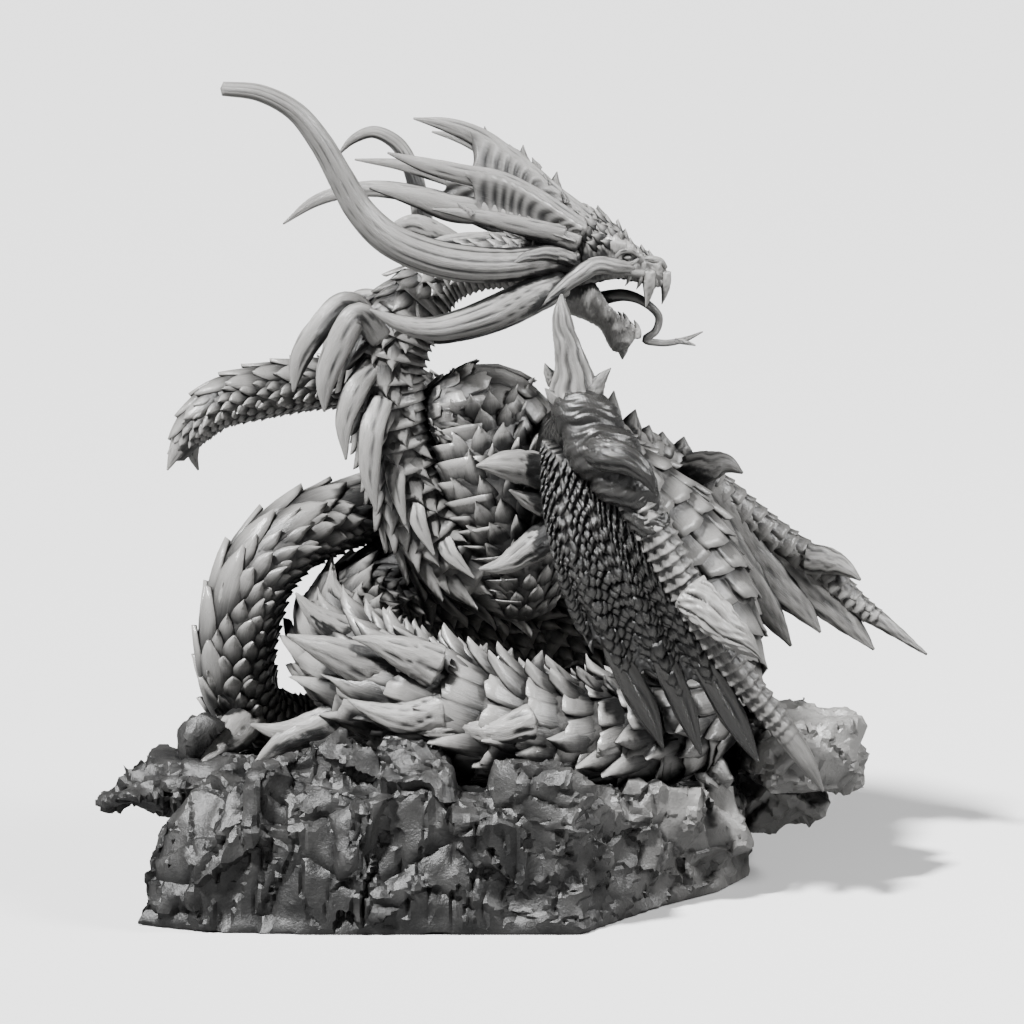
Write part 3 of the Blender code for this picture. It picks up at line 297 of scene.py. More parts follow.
# The far wing reaches back and to the right.
FAR_ARM = [
    (36, 198, 34, 9), (50, 192.5, 46, 8.5), (64, 186.5, 56, 8), (79, 179, 62, 7.4),
    (93, 168, 65, 7), (109, 155.5, 66, 6.8), (126, 144.5, 66, 6), (141, 129.5, 65, 4.6),
    (154, 120.5, 63, 3), (169.5, 109, 61, 0.5),
]
FAR_SPURS = [
    [(70, 183, 54, 7.5), (79, 185.5, 50, 6.4), (87, 186.5, 48, 4), (93.5, 183, 46, 0.5)],
    [(121, 148, 63, 6.5), (130, 147, 60, 5.2), (137, 143.5, 57, 3), (142, 139.5, 55, 0.5)],
]
FAR_THORNS = [
    (41, 199, 30, 41, 216, 4.6), (48, 197, 38, 49.8, 208.6, 4.8), (54, 194, 44, 55.5, 202.4, 4.8),
    (61, 191.5, 50, 61, 199.8, 4.8), (69, 188.5, 54, 69.8, 197.8, 4.6),
]
FAR_FINGERS = [
    [
        (66, 184, 52, 7), (84, 157, 57, 8), (98, 137, 58, 6.5), (108, 122, 58, 4),
        (114, 112.5, 58, 0.5),
    ],
    [
        (75, 179, 56, 7), (93, 156, 61, 8), (109, 137, 61, 6.5), (120, 126, 61, 4),
        (126, 118, 61, 0.5),
    ],
    [
        (86, 172, 60, 7), (106, 151, 64, 8), (126, 132, 64, 6.5), (140, 119.5, 63, 4),
        (148, 111, 62, 0.5),
    ],
]
TAIL_PRONGS = [
    [(-127, 200, 11, 4), (-134, 192, 8, 3.2), (-138, 184, 6, 0.4)],
    [(-128, 196, 14, 3.4), (-128, 190, 16, 2.2), (-126, 184, 17, 0.4)],
]
TAIL_FIN = [
    [(-104, 86, 10, 7), (-112, 78, -2, 8), (-120, 71, -10, 5), (-125, 64, -14, 1)],
    [(-62, 88, -26, 9), (-78, 81, -30, 7.5), (-93, 79.5, -31, 4), (-104, 82.5, -30, 0.5)],
    [(-76, 82, -29, 7), (-90, 76, -32, 5.4), (-98, 70, -32, 2.8), (-105, 63, -30, 0.5)],
]

# Marks of the head. Lumps are u, v, back, size and height in drawing units; dips are below zero.
SKULL_LUMPS = [
    (46.5, 271.4, -8.5, 2.8, 1.9), (42, 272.8, -10, 3.0, 1.7), (38.5, 273, -11, 3, 1.2),
    (50, 269.8, -7, 2.2, 1.0), (45.4, 268.2, -9.5, 2.4, -1.5), (46, 264.6, -9.5, 2.6, 1.1),
    (41, 265, -11, 3.4, 1.3), (58.6, 266, -5, 2.2, 1.5), (59.8, 265.2, -5.2, 0.9, -1.6),
    (54, 269.5, -1, 2.4, 0.5), (52.5, 261.6, -7.5, 1.5, 1.2), (57.4, 262, -6.2, 1.4, 1.1),
    (48.6, 262.8, -8.7, 1.4, 1.0), (55, 262.4, -7, 1.0, -0.9), (50.6, 262.8, -8.2, 0.9, -0.8),
    (60.4, 261, -3, 1.4, 0.9),
]
JAW_LUMPS = [
    (46, 235, -5, 1.6, 1.0), (43.4, 238.5, -6, 1.2, -0.8), (41, 240.5, -7, 1.6, 1.1),
    (38.5, 243.5, -7, 1.2, -0.8), (36, 245.5, -8, 2.0, 1.2), (32.5, 250, -9, 2.4, 1.1),
    (30, 246, -9, 1.6, -0.9), (27, 252, -9, 2.4, 1.0), (49, 236, -3, 1.2, 0.8),
    (47.5, 238.5, -4, 0.9, -0.6),
]
# Scales of the brow: u, v, back, length and width.
BROW_SCALES = [
    (50, 272, -4, 5, 3.5), (47, 274.5, -4, 5.5, 4), (44, 277, -4, 6, 4), (41, 279.5, -4, 6.5, 4.5),
    (38, 282, -4, 7, 5), (35, 284.5, -4, 7, 5), (47.5, 272, -7.5, 4.5, 3.5), (44.5, 274, -8, 5, 4),
    (41.5, 276, -8.5, 5.5, 4), (38.5, 278.5, -9, 6, 4.5), (35, 281, -9, 6.5, 5),
    (31.5, 283, -8, 7, 5), (28.5, 285, -7, 7, 5), (40, 273, -11, 5, 4),
    (36.5, 275, -11.5, 5.5, 4.5), (33, 277.5, -12, 6, 5), (29.5, 279.5, -12, 6, 5),
    (26, 281.5, -11.5, 6.5, 5), (33.5, 272, -12.5, 5, 4.5), (29.5, 274, -13, 5.5, 5),
    (25.5, 276, -12.5, 6, 5), (53.5, 269.5, -3.5, 4, 3), (56.5, 267.8, -3.5, 3.5, 3),
    (51, 269.5, -6.5, 3.6, 3), (54, 267.5, -6, 3.4, 2.8),
]
SMALL_TEETH = [
    (56.5, 259, 6, -4, 1), (50.5, 260.5, 8.3, -4.5, 1.2), (46, 261, 9.4, -3.6, 1.0),
    (43, 244, 5.8, 3, 0.9), (47.5, 240, 4.5, 3.4, 0.9),
]
BIG_FANGS = [
    (54, 260, 7.4, -11.5, 2.5), (60.6, 260, 4, -10, 2.1), (49.5, 238, 3.6, 5.6, 1.5),
    (45, 242, 5.2, 4.6, 1.3),
]
LIDS = [
    [
        (40.5, 267.5, -11.6, 0.9), (43, 270.4, -11, 1.4), (46.8, 270.8, -10.2, 1.4),
        (50.4, 268.4, -8.8, 0.8),
    ],
    [
        (41.4, 266.6, -11.8, 0.6), (44.5, 265.4, -11.2, 1.0), (47.8, 265.9, -10.2, 1.0),
        (50.2, 267.8, -8.9, 0.5),
    ],
    [(52, 267.6, -6.4, 1.2), (55.6, 267.4, -6, 1.6), (58.8, 266.4, -5, 1.7), (61, 264, -4, 1.0)],
    [
        (40, 263.2, -11.8, 1.4), (46, 262.4, -10.6, 1.7), (52, 261.6, -8.4, 1.7),
        (58, 261.4, -6, 1.5), (61, 260.6, -3.6, 1.0),
    ],
]
CREST_THORNS = [
    (-4, 299, -17, -9.6, 303.5, 2), (-22, 301.5, -20, -27, 304.5, 1.8),
    (-17, 285.5, -25, -21.5, 289, 1.6), (-4, 282.5, -21, -7, 286, 1.5),
    (2, 281.5, -19, 0, 285.5, 1.5), (7, 281, -17, 5.5, 285.2, 1.5), (11, 281, -15, 10, 285, 1.4),
    (8, 293, -14, 4, 297, 1.6), (14, 290, -12, 11, 294, 1.6), (2, 309, -9, -1, 312.5, 1.6),
    (10, 304, -8, 8, 307.5, 1.5), (14, 298, -9, 12, 302, 1.4), (21, 291, -9, 20, 295, 1.4),
]
WRIST_HOOK = [
    (28, 194, -47, 5), (37, 190, -55, 7), (46, 187, -59, 5.8), (52, 182, -61, 3.8),
    (56, 174.5, -61.5, 0.4),
]
SHORT_TINE = [(20, 277, -12, 4), (0, 281, -20, 3.6), (-14, 284, -24, 2.6), (-31.6, 286.6, -27, 0.3)]
FRILLS = [
    [
        (16, 273, 10, 3.5), (-2, 275, 14, 3.6), (-20, 275.5, 18, 3.4), (-34, 273.5, 22, 2.6),
        (-42, 272, 24, 0.6),
    ],
    [
        (-20, 274, 20, 3), (-30, 279, 22, 4.2), (-40, 282.5, 24, 3.8), (-50, 278, 26, 2.2),
        (-56, 274, 27, 0.5),
    ],
]
NEAR_EDGE = [
    (14, 196, -30, 6), (14, 170, -33, 6), (20, 142, -37, 6), (30, 116, -40, 6), (40, 96, -42, 4),
]


def mirrored(rows, about=3.0):
    """Drawn rows on the other side of the head's middle plane."""
    return [(row[0], row[1], about + (about - row[2]), *row[3:]) for row in rows]


def drawn(u, v, back):
    """The place in the statue of a point of the pose drawing."""
    rise = (v - SEAT_LINE) / math.cos(SHEET_TILT) - back * math.tan(SHEET_TILT)
    return Vector((u * UNIT, back * UNIT, SEAT_HEIGHT + rise * UNIT))


def placed(rows):
    """Rows of the drawing with their first three numbers as places and their fourth in metres."""
    out = np.array(rows, float)
    out[:, :3] = [drawn(*row[:3]) for row in rows]
    out[:, 3] *= UNIT
    return out


def distances(points):
    """How far each point lies along the line through all of them."""
    step = np.linalg.norm(np.diff(points, axis=0), axis=1)
    return np.concatenate([[0.0], np.cumsum(step)])


def smooth_through(rows, at, count):
    """Rows at even shares of the distances `at`, with no corner at the given ones."""
    slope = np.gradient(rows, at, axis=0)
    wanted = np.linspace(0, at[-1], count)
    span = np.clip(np.searchsorted(at, wanted, side="right") - 1, 0, len(at) - 2)
    length = (at[span + 1] - at[span])[:, None]
    t = ((wanted - at[span]) / length[:, 0])[:, None]
    start, end = rows[span], rows[span + 1]
    curve = (2 * t**3 - 3 * t**2 + 1) * start + (t**3 - 2 * t**2 + t) * length * slope[span]
    return curve + (3 * t**2 - 2 * t**3) * end + (t**3 - t**2) * length * slope[span + 1]


def spline(rows, count):
    """A smooth curve through placed rows: `count` rows at even shares of its length."""
    return smooth_through(rows, distances(rows[:, :3]), count)


def unit(vectors):
    """Vectors of length one."""
    return vectors / np.maximum(np.linalg.norm(vectors, axis=-1, keepdims=True), 1e-9)


class Strand:
    """A spine with a radius, on which skin, scales and flutes are laid by distance and angle."""

    def __init__(self, rows, count=600):
        rows = placed(rows)
        if rows.shape[1] < 7:
            rows = np.hstack([rows[:, :4], np.tile(TO_VIEWER, (len(rows), 1))])
        curve = spline(rows, count)
        self.points = curve[:, :3]
        self.radius = np.maximum(curve[:, 3], 0.2 * MM)
        self.at = distances(self.points)
        self.length = self.at[-1]
        self.along = unit(np.gradient(self.points, axis=0))
        ways = curve[:, 4:7]
        self.out = unit(ways - (ways * self.along).sum(1)[:, None] * self.along)
        self.side = np.cross(self.along, self.out)

    def read(self, values, s):
        """One of the strand's own arrays at distances along it."""
        if values.ndim == 1:
            return np.interp(s, self.at, values)
        return np.stack([np.interp(s, self.at, values[:, k]) for k in range(3)], axis=-1)

    def place(self, s, angle, height, flat=1.0):
        """Places at a distance along, an angle from the back and a height over the surface."""
        s, angle, height = np.broadcast_arrays(np.asarray(s, float), angle, height)
        kept = np.clip(s, 0, self.length)
        radius = self.read(self.radius, kept) + height
        out, side = self.read(self.out, kept), self.read(self.side, kept)
        along = unit(self.read(self.along, kept))
        around = out * (radius * np.cos(angle) * flat)[..., None]
        around = around + side * (radius * np.sin(angle))[..., None]
        return self.read(self.points, kept) + along * (s - kept)[..., None] + around


def declare(made, node):
    """Puts a piece on the root body and hides the frame part that it stands for."""
    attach(made, "root")
    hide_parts(node)


class Heap:
    """Closed shells gathered into one piece."""

    def __init__(self):
        self.points, self.faces, self.relief, self.uv, self.count = [], [], [], [], 0

    def add(self, points, faces, relief, uv):
        """Adds one shell, or many copies of one shell as a stack of point arrays."""
        points = np.asarray(points, float)
        flat = points.reshape(-1, 3)
        copies = 1 if points.ndim == 2 else points.shape[0]
        each = flat.shape[0] // copies
        for copy in range(copies):
            base = self.count + copy * each
            self.faces += [[base + corner for corner in face] for face in faces]
        self.points.append(flat)
        self.relief.append(np.broadcast_to(relief, (copies, each)).reshape(-1))
        self.uv.append(np.broadcast_to(uv, (copies, each, 2)).reshape(-1, 2))
        self.count += flat.shape[0]

    def finish(self, name, finish):
        """The finished piece: its mesh, painted shade as a point attribute, streak coordinates and finish.
        """
        mesh = bpy.data.meshes.new(name)
        mesh.from_pydata(np.concatenate(self.points).tolist(), [], self.faces)
        # The painted shade of each place, read by the resin's colour ramp.
        layer = mesh.attributes.new("relief", "FLOAT", "POINT")
        layer.data.foreach_set("value", np.concatenate(self.relief))
        corners = np.zeros(len(mesh.loops), int)
        mesh.loops.foreach_get("vertex_index", corners)
        layer = mesh.uv_layers.new(name="streaks")
        layer.data.foreach_set("uv", np.concatenate(self.uv)[corners].reshape(-1))
        mesh.materials.append(finish)
        made = bpy.data.objects.new(name, mesh)
        bpy.context.scene.collection.objects.link(made)
        shape = bmesh.new()
        shape.from_mesh(mesh)
        bmesh.ops.recalc_face_normals(shape, faces=shape.faces)
        shape.to_mesh(mesh)
        shape.free()
        mesh.shade_smooth()
        declare(made, "dragon")


def tube_faces(rings, sides):
    """Faces of a tube of rings that is closed to one point at each end, which come last."""
    faces = []
    for ring in range(rings - 1):
        for side in range(sides):
            a, b = ring * sides + side, ring * sides + (side + 1) % sides
            faces.append([a, b, b + sides, a + sides])
    first, last, top = rings * sides, rings * sides + 1, (rings - 1) * sides
    for side in range(sides):
        other = (side + 1) % sides
        faces.append([other, side, first])
        faces.append([top + side, top + other, last])
    return faces


def share_of(values):
    """Values from 0 at the lowest to 1 at the highest."""
    return (values - values.min()) / max(float(np.ptp(values)), 1e-6)


def tube(heap, strand, rings, sides, height, flat=1.0, blunt=0.5):
    """A swept shell on a strand. `height` gives its relief, in metres, by distance and angle."""
    s = np.linspace(0, strand.length, rings)
    angle = np.linspace(0, 2 * np.pi, sides, endpoint=False)
    grid_s, grid_a = np.meshgrid(s, angle, indexing="ij")
    relief = height(grid_s, grid_a)
    body = strand.place(grid_s, grid_a, relief, flat).reshape(-1, 3)
    reach = np.array([-1, 1]) * strand.radius[[0, -1]] * blunt
    ends = strand.points[[0, -1]] + strand.along[[0, -1]] * reach[:, None]
    # Painted shade: darker where the relief sinks, lighter where it rises.
    shade = share_of(relief).reshape(-1)
    uv = np.stack([grid_a / (2 * np.pi) * STREAKS_AROUND, grid_s / STREAK_RUN], axis=-1).reshape(-1, 2)
    heap.add(
        np.vstack([body, ends]), tube_faces(rings, sides),
        np.concatenate([shade, shade[[0, -1]]]), np.vstack([uv, uv[[0, -1]]]),
    )


def flutes(strand, count, depth, fade=0.0, twist=0.0, root=0.0, rough=0.0, seed=0.0):
    """Relief of a horn: long flutes that wander a little, with crosswise wrinkles at its root."""
    def height(s, angle):
        share = s / strand.length
        wander = 0.8 * np.sin(share * 9 + seed) + 0.5 * np.sin(share * 21 + seed * 2)
        ridge = np.abs(np.sin((angle + twist * share) * count / 2 + wander))
        fine = 0.35 * np.sin((angle + twist * share) * count * 1.7 + wander * 2 + seed)
        keep = 1 - fade * share
        wrinkle = np.sin(s / (1.1 * MM) + 1.2 * np.sin(angle * 3 + seed)) * np.exp(-share / 0.12)
        coarse = (np.sin(angle * 5 + s / (2 * MM)) + np.sin(angle * 9 - s / (1.3 * MM))) / 2
        radius = strand.read(strand.radius, s)
        return radius * (depth * keep * (ridge + fine - 0.6) + root * wrinkle * 0.5) + rough * MM * coarse
    return height


def grooves(strand, count, depth, twist=0.0, root=0.0, seed=0.0):
    """Relief of a smooth horn: thin long grooves that come and go, and rings at its root."""
    def height(s, angle):
        share = s / strand.length
        turn = angle + twist * share + 0.12 * np.sin(share * 11 + seed)
        cut = np.exp(-((np.sin(turn * count / 2) / 0.2) ** 2))
        keep = 0.8 + 0.2 * np.sin(share * 9 + seed)
        fine = 0.3 * np.sin(turn * count * 2 + seed) * np.sin(share * 23 + seed)
        rings = np.sin(s / (1.3 * MM) + 0.8 * np.sin(angle * 2 + seed)) * np.exp(-share / 0.1)
        radius = strand.read(strand.radius, s)
        return radius * (depth * (fine - 1.6 * cut * keep) + root * rings)
    return height


def pebbled(strand, amount=0.35, size=2.2, seed=0.0):
    """Relief of the hide between the scales: low pebbles and folds, sized in millimetres."""
    def height(s, angle):
        arc = angle * strand.read(strand.radius, s) / (size * MM)
        run = s / (size * MM)
        cells = np.sin(arc * 3.1 + np.sin(run * 1.3 + seed)) * np.sin(run * 3.1 + np.sin(arc * 1.7))
        return amount * MM * (np.abs(cells) ** 0.6 - 0.4)
    return height


def resin(name, painted_shade_colour, light, roughness, streaks=0.5, grain=0.3, grain_size=0.9 * MM):
    """Semi-gloss casting resin: its own tone on the ridges, painted shade darkening its recesses, faintly
    streaked.
    """
    material = bpy.data.materials.new(name)
    material.use_nodes = True
    nodes, links = material.node_tree.nodes, material.node_tree.links
    shader = nodes["Principled BSDF"]

    def maths(operation, source, number, added=None):
        """A socket worked with a number, and with a second socket where one is added."""
        made = nodes.new("ShaderNodeMath")
        made.operation = operation
        made.inputs[1].default_value = number
        links.new(source, made.inputs[0])
        if added:
            links.new(added, made.inputs[2])
        return made.outputs[0]

    def mottle(place, scale, detail, rough, distortion=0.0):
        """A noise pattern over places."""
        made = nodes.new("ShaderNodeTexNoise")
        made.inputs["Scale"].default_value = scale
        made.inputs["Detail"].default_value = detail
        made.inputs["Roughness"].default_value = rough
        made.inputs["Distortion"].default_value = distortion
        links.new(place, made.inputs["Vector"])
        return made.outputs["Fac"]

    place = nodes.new("ShaderNodeTexCoord").outputs
    stretch = nodes.new("ShaderNodeMapping")
    stretch.inputs["Scale"].default_value = (9.0, 1.1, 1.0)
    links.new(place["UV"], stretch.inputs["Vector"])
    cloud = mottle(place["Object"], 90.0, 3.0, 0.6)
    fine = mottle(place["Object"], 1 / grain_size, 4.0, 0.65)
    streak = mottle(stretch.outputs["Vector"], 2.2, 4.0, 0.55, 0.3)
    relief = nodes.new("ShaderNodeAttribute")
    relief.attribute_name = "relief"

    # How light the resin is: painted shade from the relief attribute, darkest in recesses, moved a little by
    # cloud and streaks.
    lowered = maths("ADD", relief.outputs["Fac"], -0.17)
    clouded = maths("MULTIPLY_ADD", cloud, 0.35, lowered)
    streaked = maths("MULTIPLY_ADD", streak, streaks * 0.8, clouded)
    tone = maths("ADD", streaked, -streaks * 0.4)
    # The ramp's first colour is the painted shade of the deepest recesses; its last is the resin's own tone.
    ramp = nodes.new("ShaderNodeValToRGB")
    stops = ramp.color_ramp.elements
    stops[0].position = 0.04
    stops[0].color = (*painted_shade_colour, 1)
    stops[1].position = 0.98
    stops[1].color = (*light, 1)
    for position, share in ((0.34, 0.24), (0.66, 0.74)):
        stop = stops.new(position)
        stop.color = (*[d + (l - d) * share for d, l in zip(painted_shade_colour, light)], 1)
    links.new(tone, ramp.inputs["Fac"])
    links.new(ramp.outputs["Color"], shader.inputs["Base Color"])

    # Rubbed ridges are glossier than recesses.
    gloss = nodes.new("ShaderNodeMapRange")
    gloss.inputs["To Min"].default_value = roughness + 0.16
    gloss.inputs["To Max"].default_value = roughness - 0.06
    links.new(tone, gloss.inputs["Value"])
    links.new(gloss.outputs["Result"], shader.inputs["Roughness"])

    bump = nodes.new("ShaderNodeBump")
    bump.inputs["Strength"].default_value = 0.75
    bump.inputs["Distance"].default_value = 0.6 * MM
    grains = maths("MULTIPLY", fine, grain)
    links.new(maths("MULTIPLY_ADD", streak, streaks, grains), bump.inputs["Height"])
    links.new(bump.outputs["Normal"], shader.inputs["Normal"])
    shader.inputs["Specular IOR Level"].default_value = 0.75
    return material


# Each resin's first colour is painted shade for its recesses; its second is the resin's own tone.
PALE = resin("pale_resin", (0.004, 0.004, 0.004), (0.30, 0.294, 0.284), 0.28, 0.4)
HORN = resin("horn_resin", (0.008, 0.008, 0.008), (0.33, 0.323, 0.312), 0.28, 0.6, 0.12)
# Near black throughout: painted shade on the hide between the scales and on the near wing's web.
SKIN_PAINTED_SHADE = resin("skin_resin_painted_shade", (0.002, 0.002, 0.002), (0.08, 0.078, 0.075), 0.45, 0.2, 0.6)
# Near black throughout: painted shade on the near wing's sleeve, shoulders, blades and small scales.
WING_PAINTED_SHADE = resin("wing_resin_painted_shade", (0.001, 0.001, 0.001), (0.036, 0.0353, 0.034), 0.26, 0.5)
TOOTH = resin("fang_resin", (0.08, 0.079, 0.075), (0.5, 0.49, 0.475), 0.34, 0.3, 0.1)
STONE = resin("rock_resin_dressed", (0.003, 0.003, 0.003), (0.24, 0.236, 0.229), 0.34, 0.0, 0.8, 1.3 * MM)


def template(across, down, outline, crown):
    """A scale as arrays: its points, faces and painted shade. It is shaped from a grid and closed below.

    It lies across -0.5 to 0.5, runs from its root at 0 to its tip at 1, and is about 1 high.
    """
    bpy.ops.mesh.primitive_grid_add(x_subdivisions=across, y_subdivisions=down, size=1)
    made = bpy.context.active_object
    top = len(made.data.vertices)
    for vert in made.data.vertices:
        x, y = vert.co.x, vert.co.y + 0.5
        width, push = outline(x * 2, y)
        vert.co = (x * width, y + push, crown(x * 2, y))
    bpy.ops.object.mode_set(mode="EDIT")
    bpy.ops.mesh.select_all(action="SELECT")
    bpy.ops.mesh.region_to_loop()
    bpy.ops.mesh.extrude_edges_move(TRANSFORM_OT_translate={"value": (0, 0, -SCALE_SKIRT)})
    bpy.ops.mesh.edge_face_add()
    bpy.ops.object.mode_set(mode="OBJECT")
    mesh = made.data
    points = np.array([vert.co for vert in mesh.vertices])
    faces = [list(face.vertices) for face in mesh.polygons]
    # Painted shade: darker at the root, where the scale before it overlaps, much darker on the underside and
    # towards the side edges.
    lip = np.clip(points[:, 1], 0, 1)
    relief = np.clip(lip * 1.5 - 0.25, 0, 1) * np.where(np.arange(len(points)) < top, 1.0, 0.15)
    relief *= 1 - 0.6 * np.abs(points[:, 0] * 2) ** 4
    bpy.data.objects.remove(made)
    return points, faces, relief


def bump_at(away, wide):
    """A smooth bump of height one over a distance from its middle."""
    return math.exp(-((away / wide) ** 2))


def pointed(sharp=2.0, keel=0.35, narrow=0.9):
    """Outline and crown of a pointed, keeled scale."""
    def outline(x, y):
        taper = max(0.03, 1 - (max(y - 0.3, 0) / 0.7) ** sharp)
        return narrow * taper, -0.05 * x * x

    def crown(x, y):
        bowl = 1 - 0.6 * x * x
        return (0.1 + 0.9 * y**1.2) * bowl + keel * bump_at(x, 0.22) * min(y * 2, 1)

    return outline, crown


def ragged(cuts, deep=0.07, keel=0.0):
    """Outline and crown of a broad plate with a torn lower edge and low ribs."""
    def outline(x, y):
        torn = sum(math.sin(x * f + p) for f, p in cuts) / len(cuts)
        corner = 1 - 0.16 * max(y - 0.6, 0) / 0.4 * abs(x) ** 3
        return 0.96 * corner, (torn * deep - 0.08 * x * x) * y * y

    def crown(x, y):
        ribs = 0.10 * math.sin(x * 9 + 2 * y) + 0.07 * math.sin(x * 17 - 3 * y)
        rim = 0.22 * bump_at(1 - y, 0.12)
        return (0.1 + 0.85 * y**1.1) * (1 - 0.25 * x * x) + ribs * y + rim + keel * bump_at(x, 0.2) * y

    return outline, crown


def rimmed():
    """Outline and crown of a long rhombic plate with a raised rim and a sunk middle."""
    def outline(_, y):
        return max(0.04, 1 - (abs(y - 0.45) / 0.57) ** 1.7), 0.0

    def crown(x, y):
        away = abs(x)
        rim = 0.34 * bump_at(away - 0.72, 0.22) + 0.3 * bump_at(1 - y, 0.16)
        return (0.15 + 0.8 * y) * (1 - 0.5 * away**3) + rim + 0.25 * bump_at(x, 0.14)

    return outline, crown


def drop():
    """Outline and crown of a small rounded scale."""
    def outline(_, y):
        return max(0.05, math.sqrt(max(0.0, 1 - (max(y - 0.45, 0) / 0.56) ** 2))) * 0.92, 0.0

    def crown(x, y):
        return (0.1 + 0.9 * y) * (1 - 0.55 * x * x) + 0.15 * bump_at(x, 0.3)

    return outline, crown


def band():
    """Outline and crown of a broad belly plate with a rolled lip."""
    def outline(x, y):
        return 1.0, -0.10 * x * x * y

    def crown(x, y):
        lip = 0.4 * bump_at(1 - y, 0.2)
        return (0.15 + 0.6 * y) * (1 - 0.35 * x**4) + lip + 0.05 * math.sin(x * 14)

    return outline, crown


KEELED = template(4, 6, *pointed())
LEAF = template(4, 7, *pointed(1.6, 0.5, 0.95))
PLATES = [
    template(6, 4, *ragged([(5, 0.4), (11, 1.9), (17, 0.3)])),
    template(6, 4, *ragged([(6, 2.4), (9, 0.2), (19, 1.3)], 0.09)),
    template(6, 4, *ragged([(4, 4.0), (13, 2.9), (15, 0.9)], 0.08, 0.3)),
]
RHOMB = template(4, 6, *rimmed())
DROP = template(4, 4, *drop())
BAND = template(7, 3, *band())

STRANDS = {
    "neck": Strand(NECK),
    "column": Strand(COLUMN),
    "back": Strand([(-38, 203, 9, 4, 0.1, -0.4, 1), (-32, 204.5, 9.5, 13.5, 0.1, -0.4, 1), *BACK]),
    "coil": Strand(COIL, 900),
    "tail": Strand(TAIL, 900),
    "tail_end": Strand(TAIL_END),
}

# Bands of scales by piece. Each row is the strand, the kinds of scale and a seed, then the band's
# start and end as shares of the length and its two angles in degrees, then the scales' step,
# width, height and the lift of their tips in shares of the radius, how far one covers the next,
# and how unevenly they lie.
BANDS = {
    "neck_scales": [
        ("neck", [LEAF], 3, 0.02, 1.0, -38, 38, 0.5, 0.56, 0.12, 0.2, 1.7, 0.1),
        ("neck", [KEELED, LEAF], 4, 0.0, 1.0, 38, 110, 0.5, 0.52, 0.10, 0.12, 1.6, 0.1),
        ("neck", [KEELED, LEAF], 5, 0.0, 1.0, -110, -38, 0.5, 0.52, 0.10, 0.12, 1.6, 0.1),
        ("neck", [BAND], 6, 0.0, 1.0, 112, 248, 0.3, 2.4, 0.11, 0.06, 1.35, 0.03),
    ],
    "breast_scales": [
        ("column", [BAND], 11, 0.0, 1.02, -178, -122, 0.27, 1.0, 0.10, 0.08, 1.4, 0.04),
        ("column", [BAND], 12, 0.0, 1.02, 125, 178, 0.27, 1.0, 0.10, 0.08, 1.4, 0.04),
        ("column", [LEAF, KEELED], 13, 0.0, 1.02, -120, 120, 0.36, 0.44, 0.10, 0.15, 1.6, 0.1),
    ],
    "back_scales": [
        ("back", PLATES, 21, 0.0, 1.0, -64, 64, 0.40, 0.5, 0.09, 0.04, 1.35, 0.1),
        ("back", [LEAF], 22, 0.0, 1.0, -82, -64, 0.36, 0.26, 0.10, 0.12, 1.7, 0.1),
        ("back", [LEAF], 23, 0.0, 1.0, 64, 82, 0.36, 0.26, 0.10, 0.12, 1.7, 0.1),
        ("back", PLATES, 24, 0.0, 1.0, -125, -82, 0.36, 0.36, 0.07, 0.05, 1.4, 0.1),
        ("back", PLATES, 25, 0.0, 1.0, 82, 125, 0.36, 0.36, 0.07, 0.05, 1.4, 0.1),
        ("back", PLATES, 27, -0.04, 0.3, 64, 296, 0.40, 0.5, 0.09, 0.04, 1.35, 0.1),
        ("back", [BAND], 26, 0.3, 1.0, 125, 235, 0.25, 2.0, 0.09, 0.05, 1.35, 0.03),
    ],
    "coil_scales": [
        ("coil", [LEAF], 31, 0.0, 0.97, 30, 62, 0.5, 0.46, 0.14, 0.26, 1.8, 0.1),
        ("coil", [LEAF, KEELED], 32, 0.0, 0.97, 62, 130, 0.4, 0.42, 0.10, 0.13, 1.6, 0.1),
        ("coil", PLATES, 33, 0.0, 0.97, -24, 30, 0.6, 0.62, 0.09, 0.06, 1.35, 0.1),
        ("coil", [LEAF], 34, 0.0, 0.97, -56, -24, 0.5, 0.4, 0.11, 0.14, 1.7, 0.1),
        ("coil", PLATES, 35, 0.0, 0.97, -104, -56, 0.5, 0.56, 0.08, 0.05, 1.35, 0.1),
        ("coil", [BAND], 36, 0.0, 0.97, 130, 256, 0.34, 2.3, 0.09, 0.05, 1.35, 0.03),
    ],
    "tail_scales": [
        row
        for strand, seed, end in (("tail", 41, 1.0), ("tail_end", 51, 0.93))
        for row in (
            (strand, [RHOMB], seed, 0.0, end, -50, 50, 0.95, 0.86, 0.15, 0.10, 1.8, 0.05),
            (strand, [KEELED, RHOMB], seed + 1, 0.0, end, -108, -50, 0.5, 0.5, 0.11, 0.10, 1.7, 0.1),
            (strand, [KEELED, RHOMB], seed + 2, 0.0, end, 50, 108, 0.5, 0.5, 0.11, 0.10, 1.7, 0.1),
            (strand, [DROP], seed + 3, 0.0, end, 108, 252, 0.4, 0.44, 0.08, 0.05, 1.3, 0.1),
        )
    ],
}


def spots_on(strand, seed, start, end, low, high, pitch, wide, tall, lift, over, loose):
    """Spots for the staggered rows of a band: s, angle, length, width, height, lift and turn."""
    dice = random.Random(seed)
    spots, s, row = [], start * strand.length, 0
    while s < end * strand.length:
        radius = float(strand.read(strand.radius, s))
        span = (high - low) * DEG
        count = max(1, round(span / wide))
        step = span / count
        odd = row % 2
        for k in range(count + odd):
            angle = low * DEG + (k + 0.5 - 0.5 * odd) * step
            jitter = [dice.uniform(-loose, loose) for _ in range(5)]
            spots.append((
                s + jitter[0] * pitch * radius,
                angle + jitter[1] * step,
                pitch * radius * over * (1 + jitter[2]),
                step * radius * 1.12 * (1 + jitter[3] * 0.5),
                tall * radius * (1 + jitter[4] * 2),
                lift * radius * (1 + jitter[2] * 3),
                jitter[1] * 0.9,
            ))
        s += pitch * radius
        row += 1
    return spots


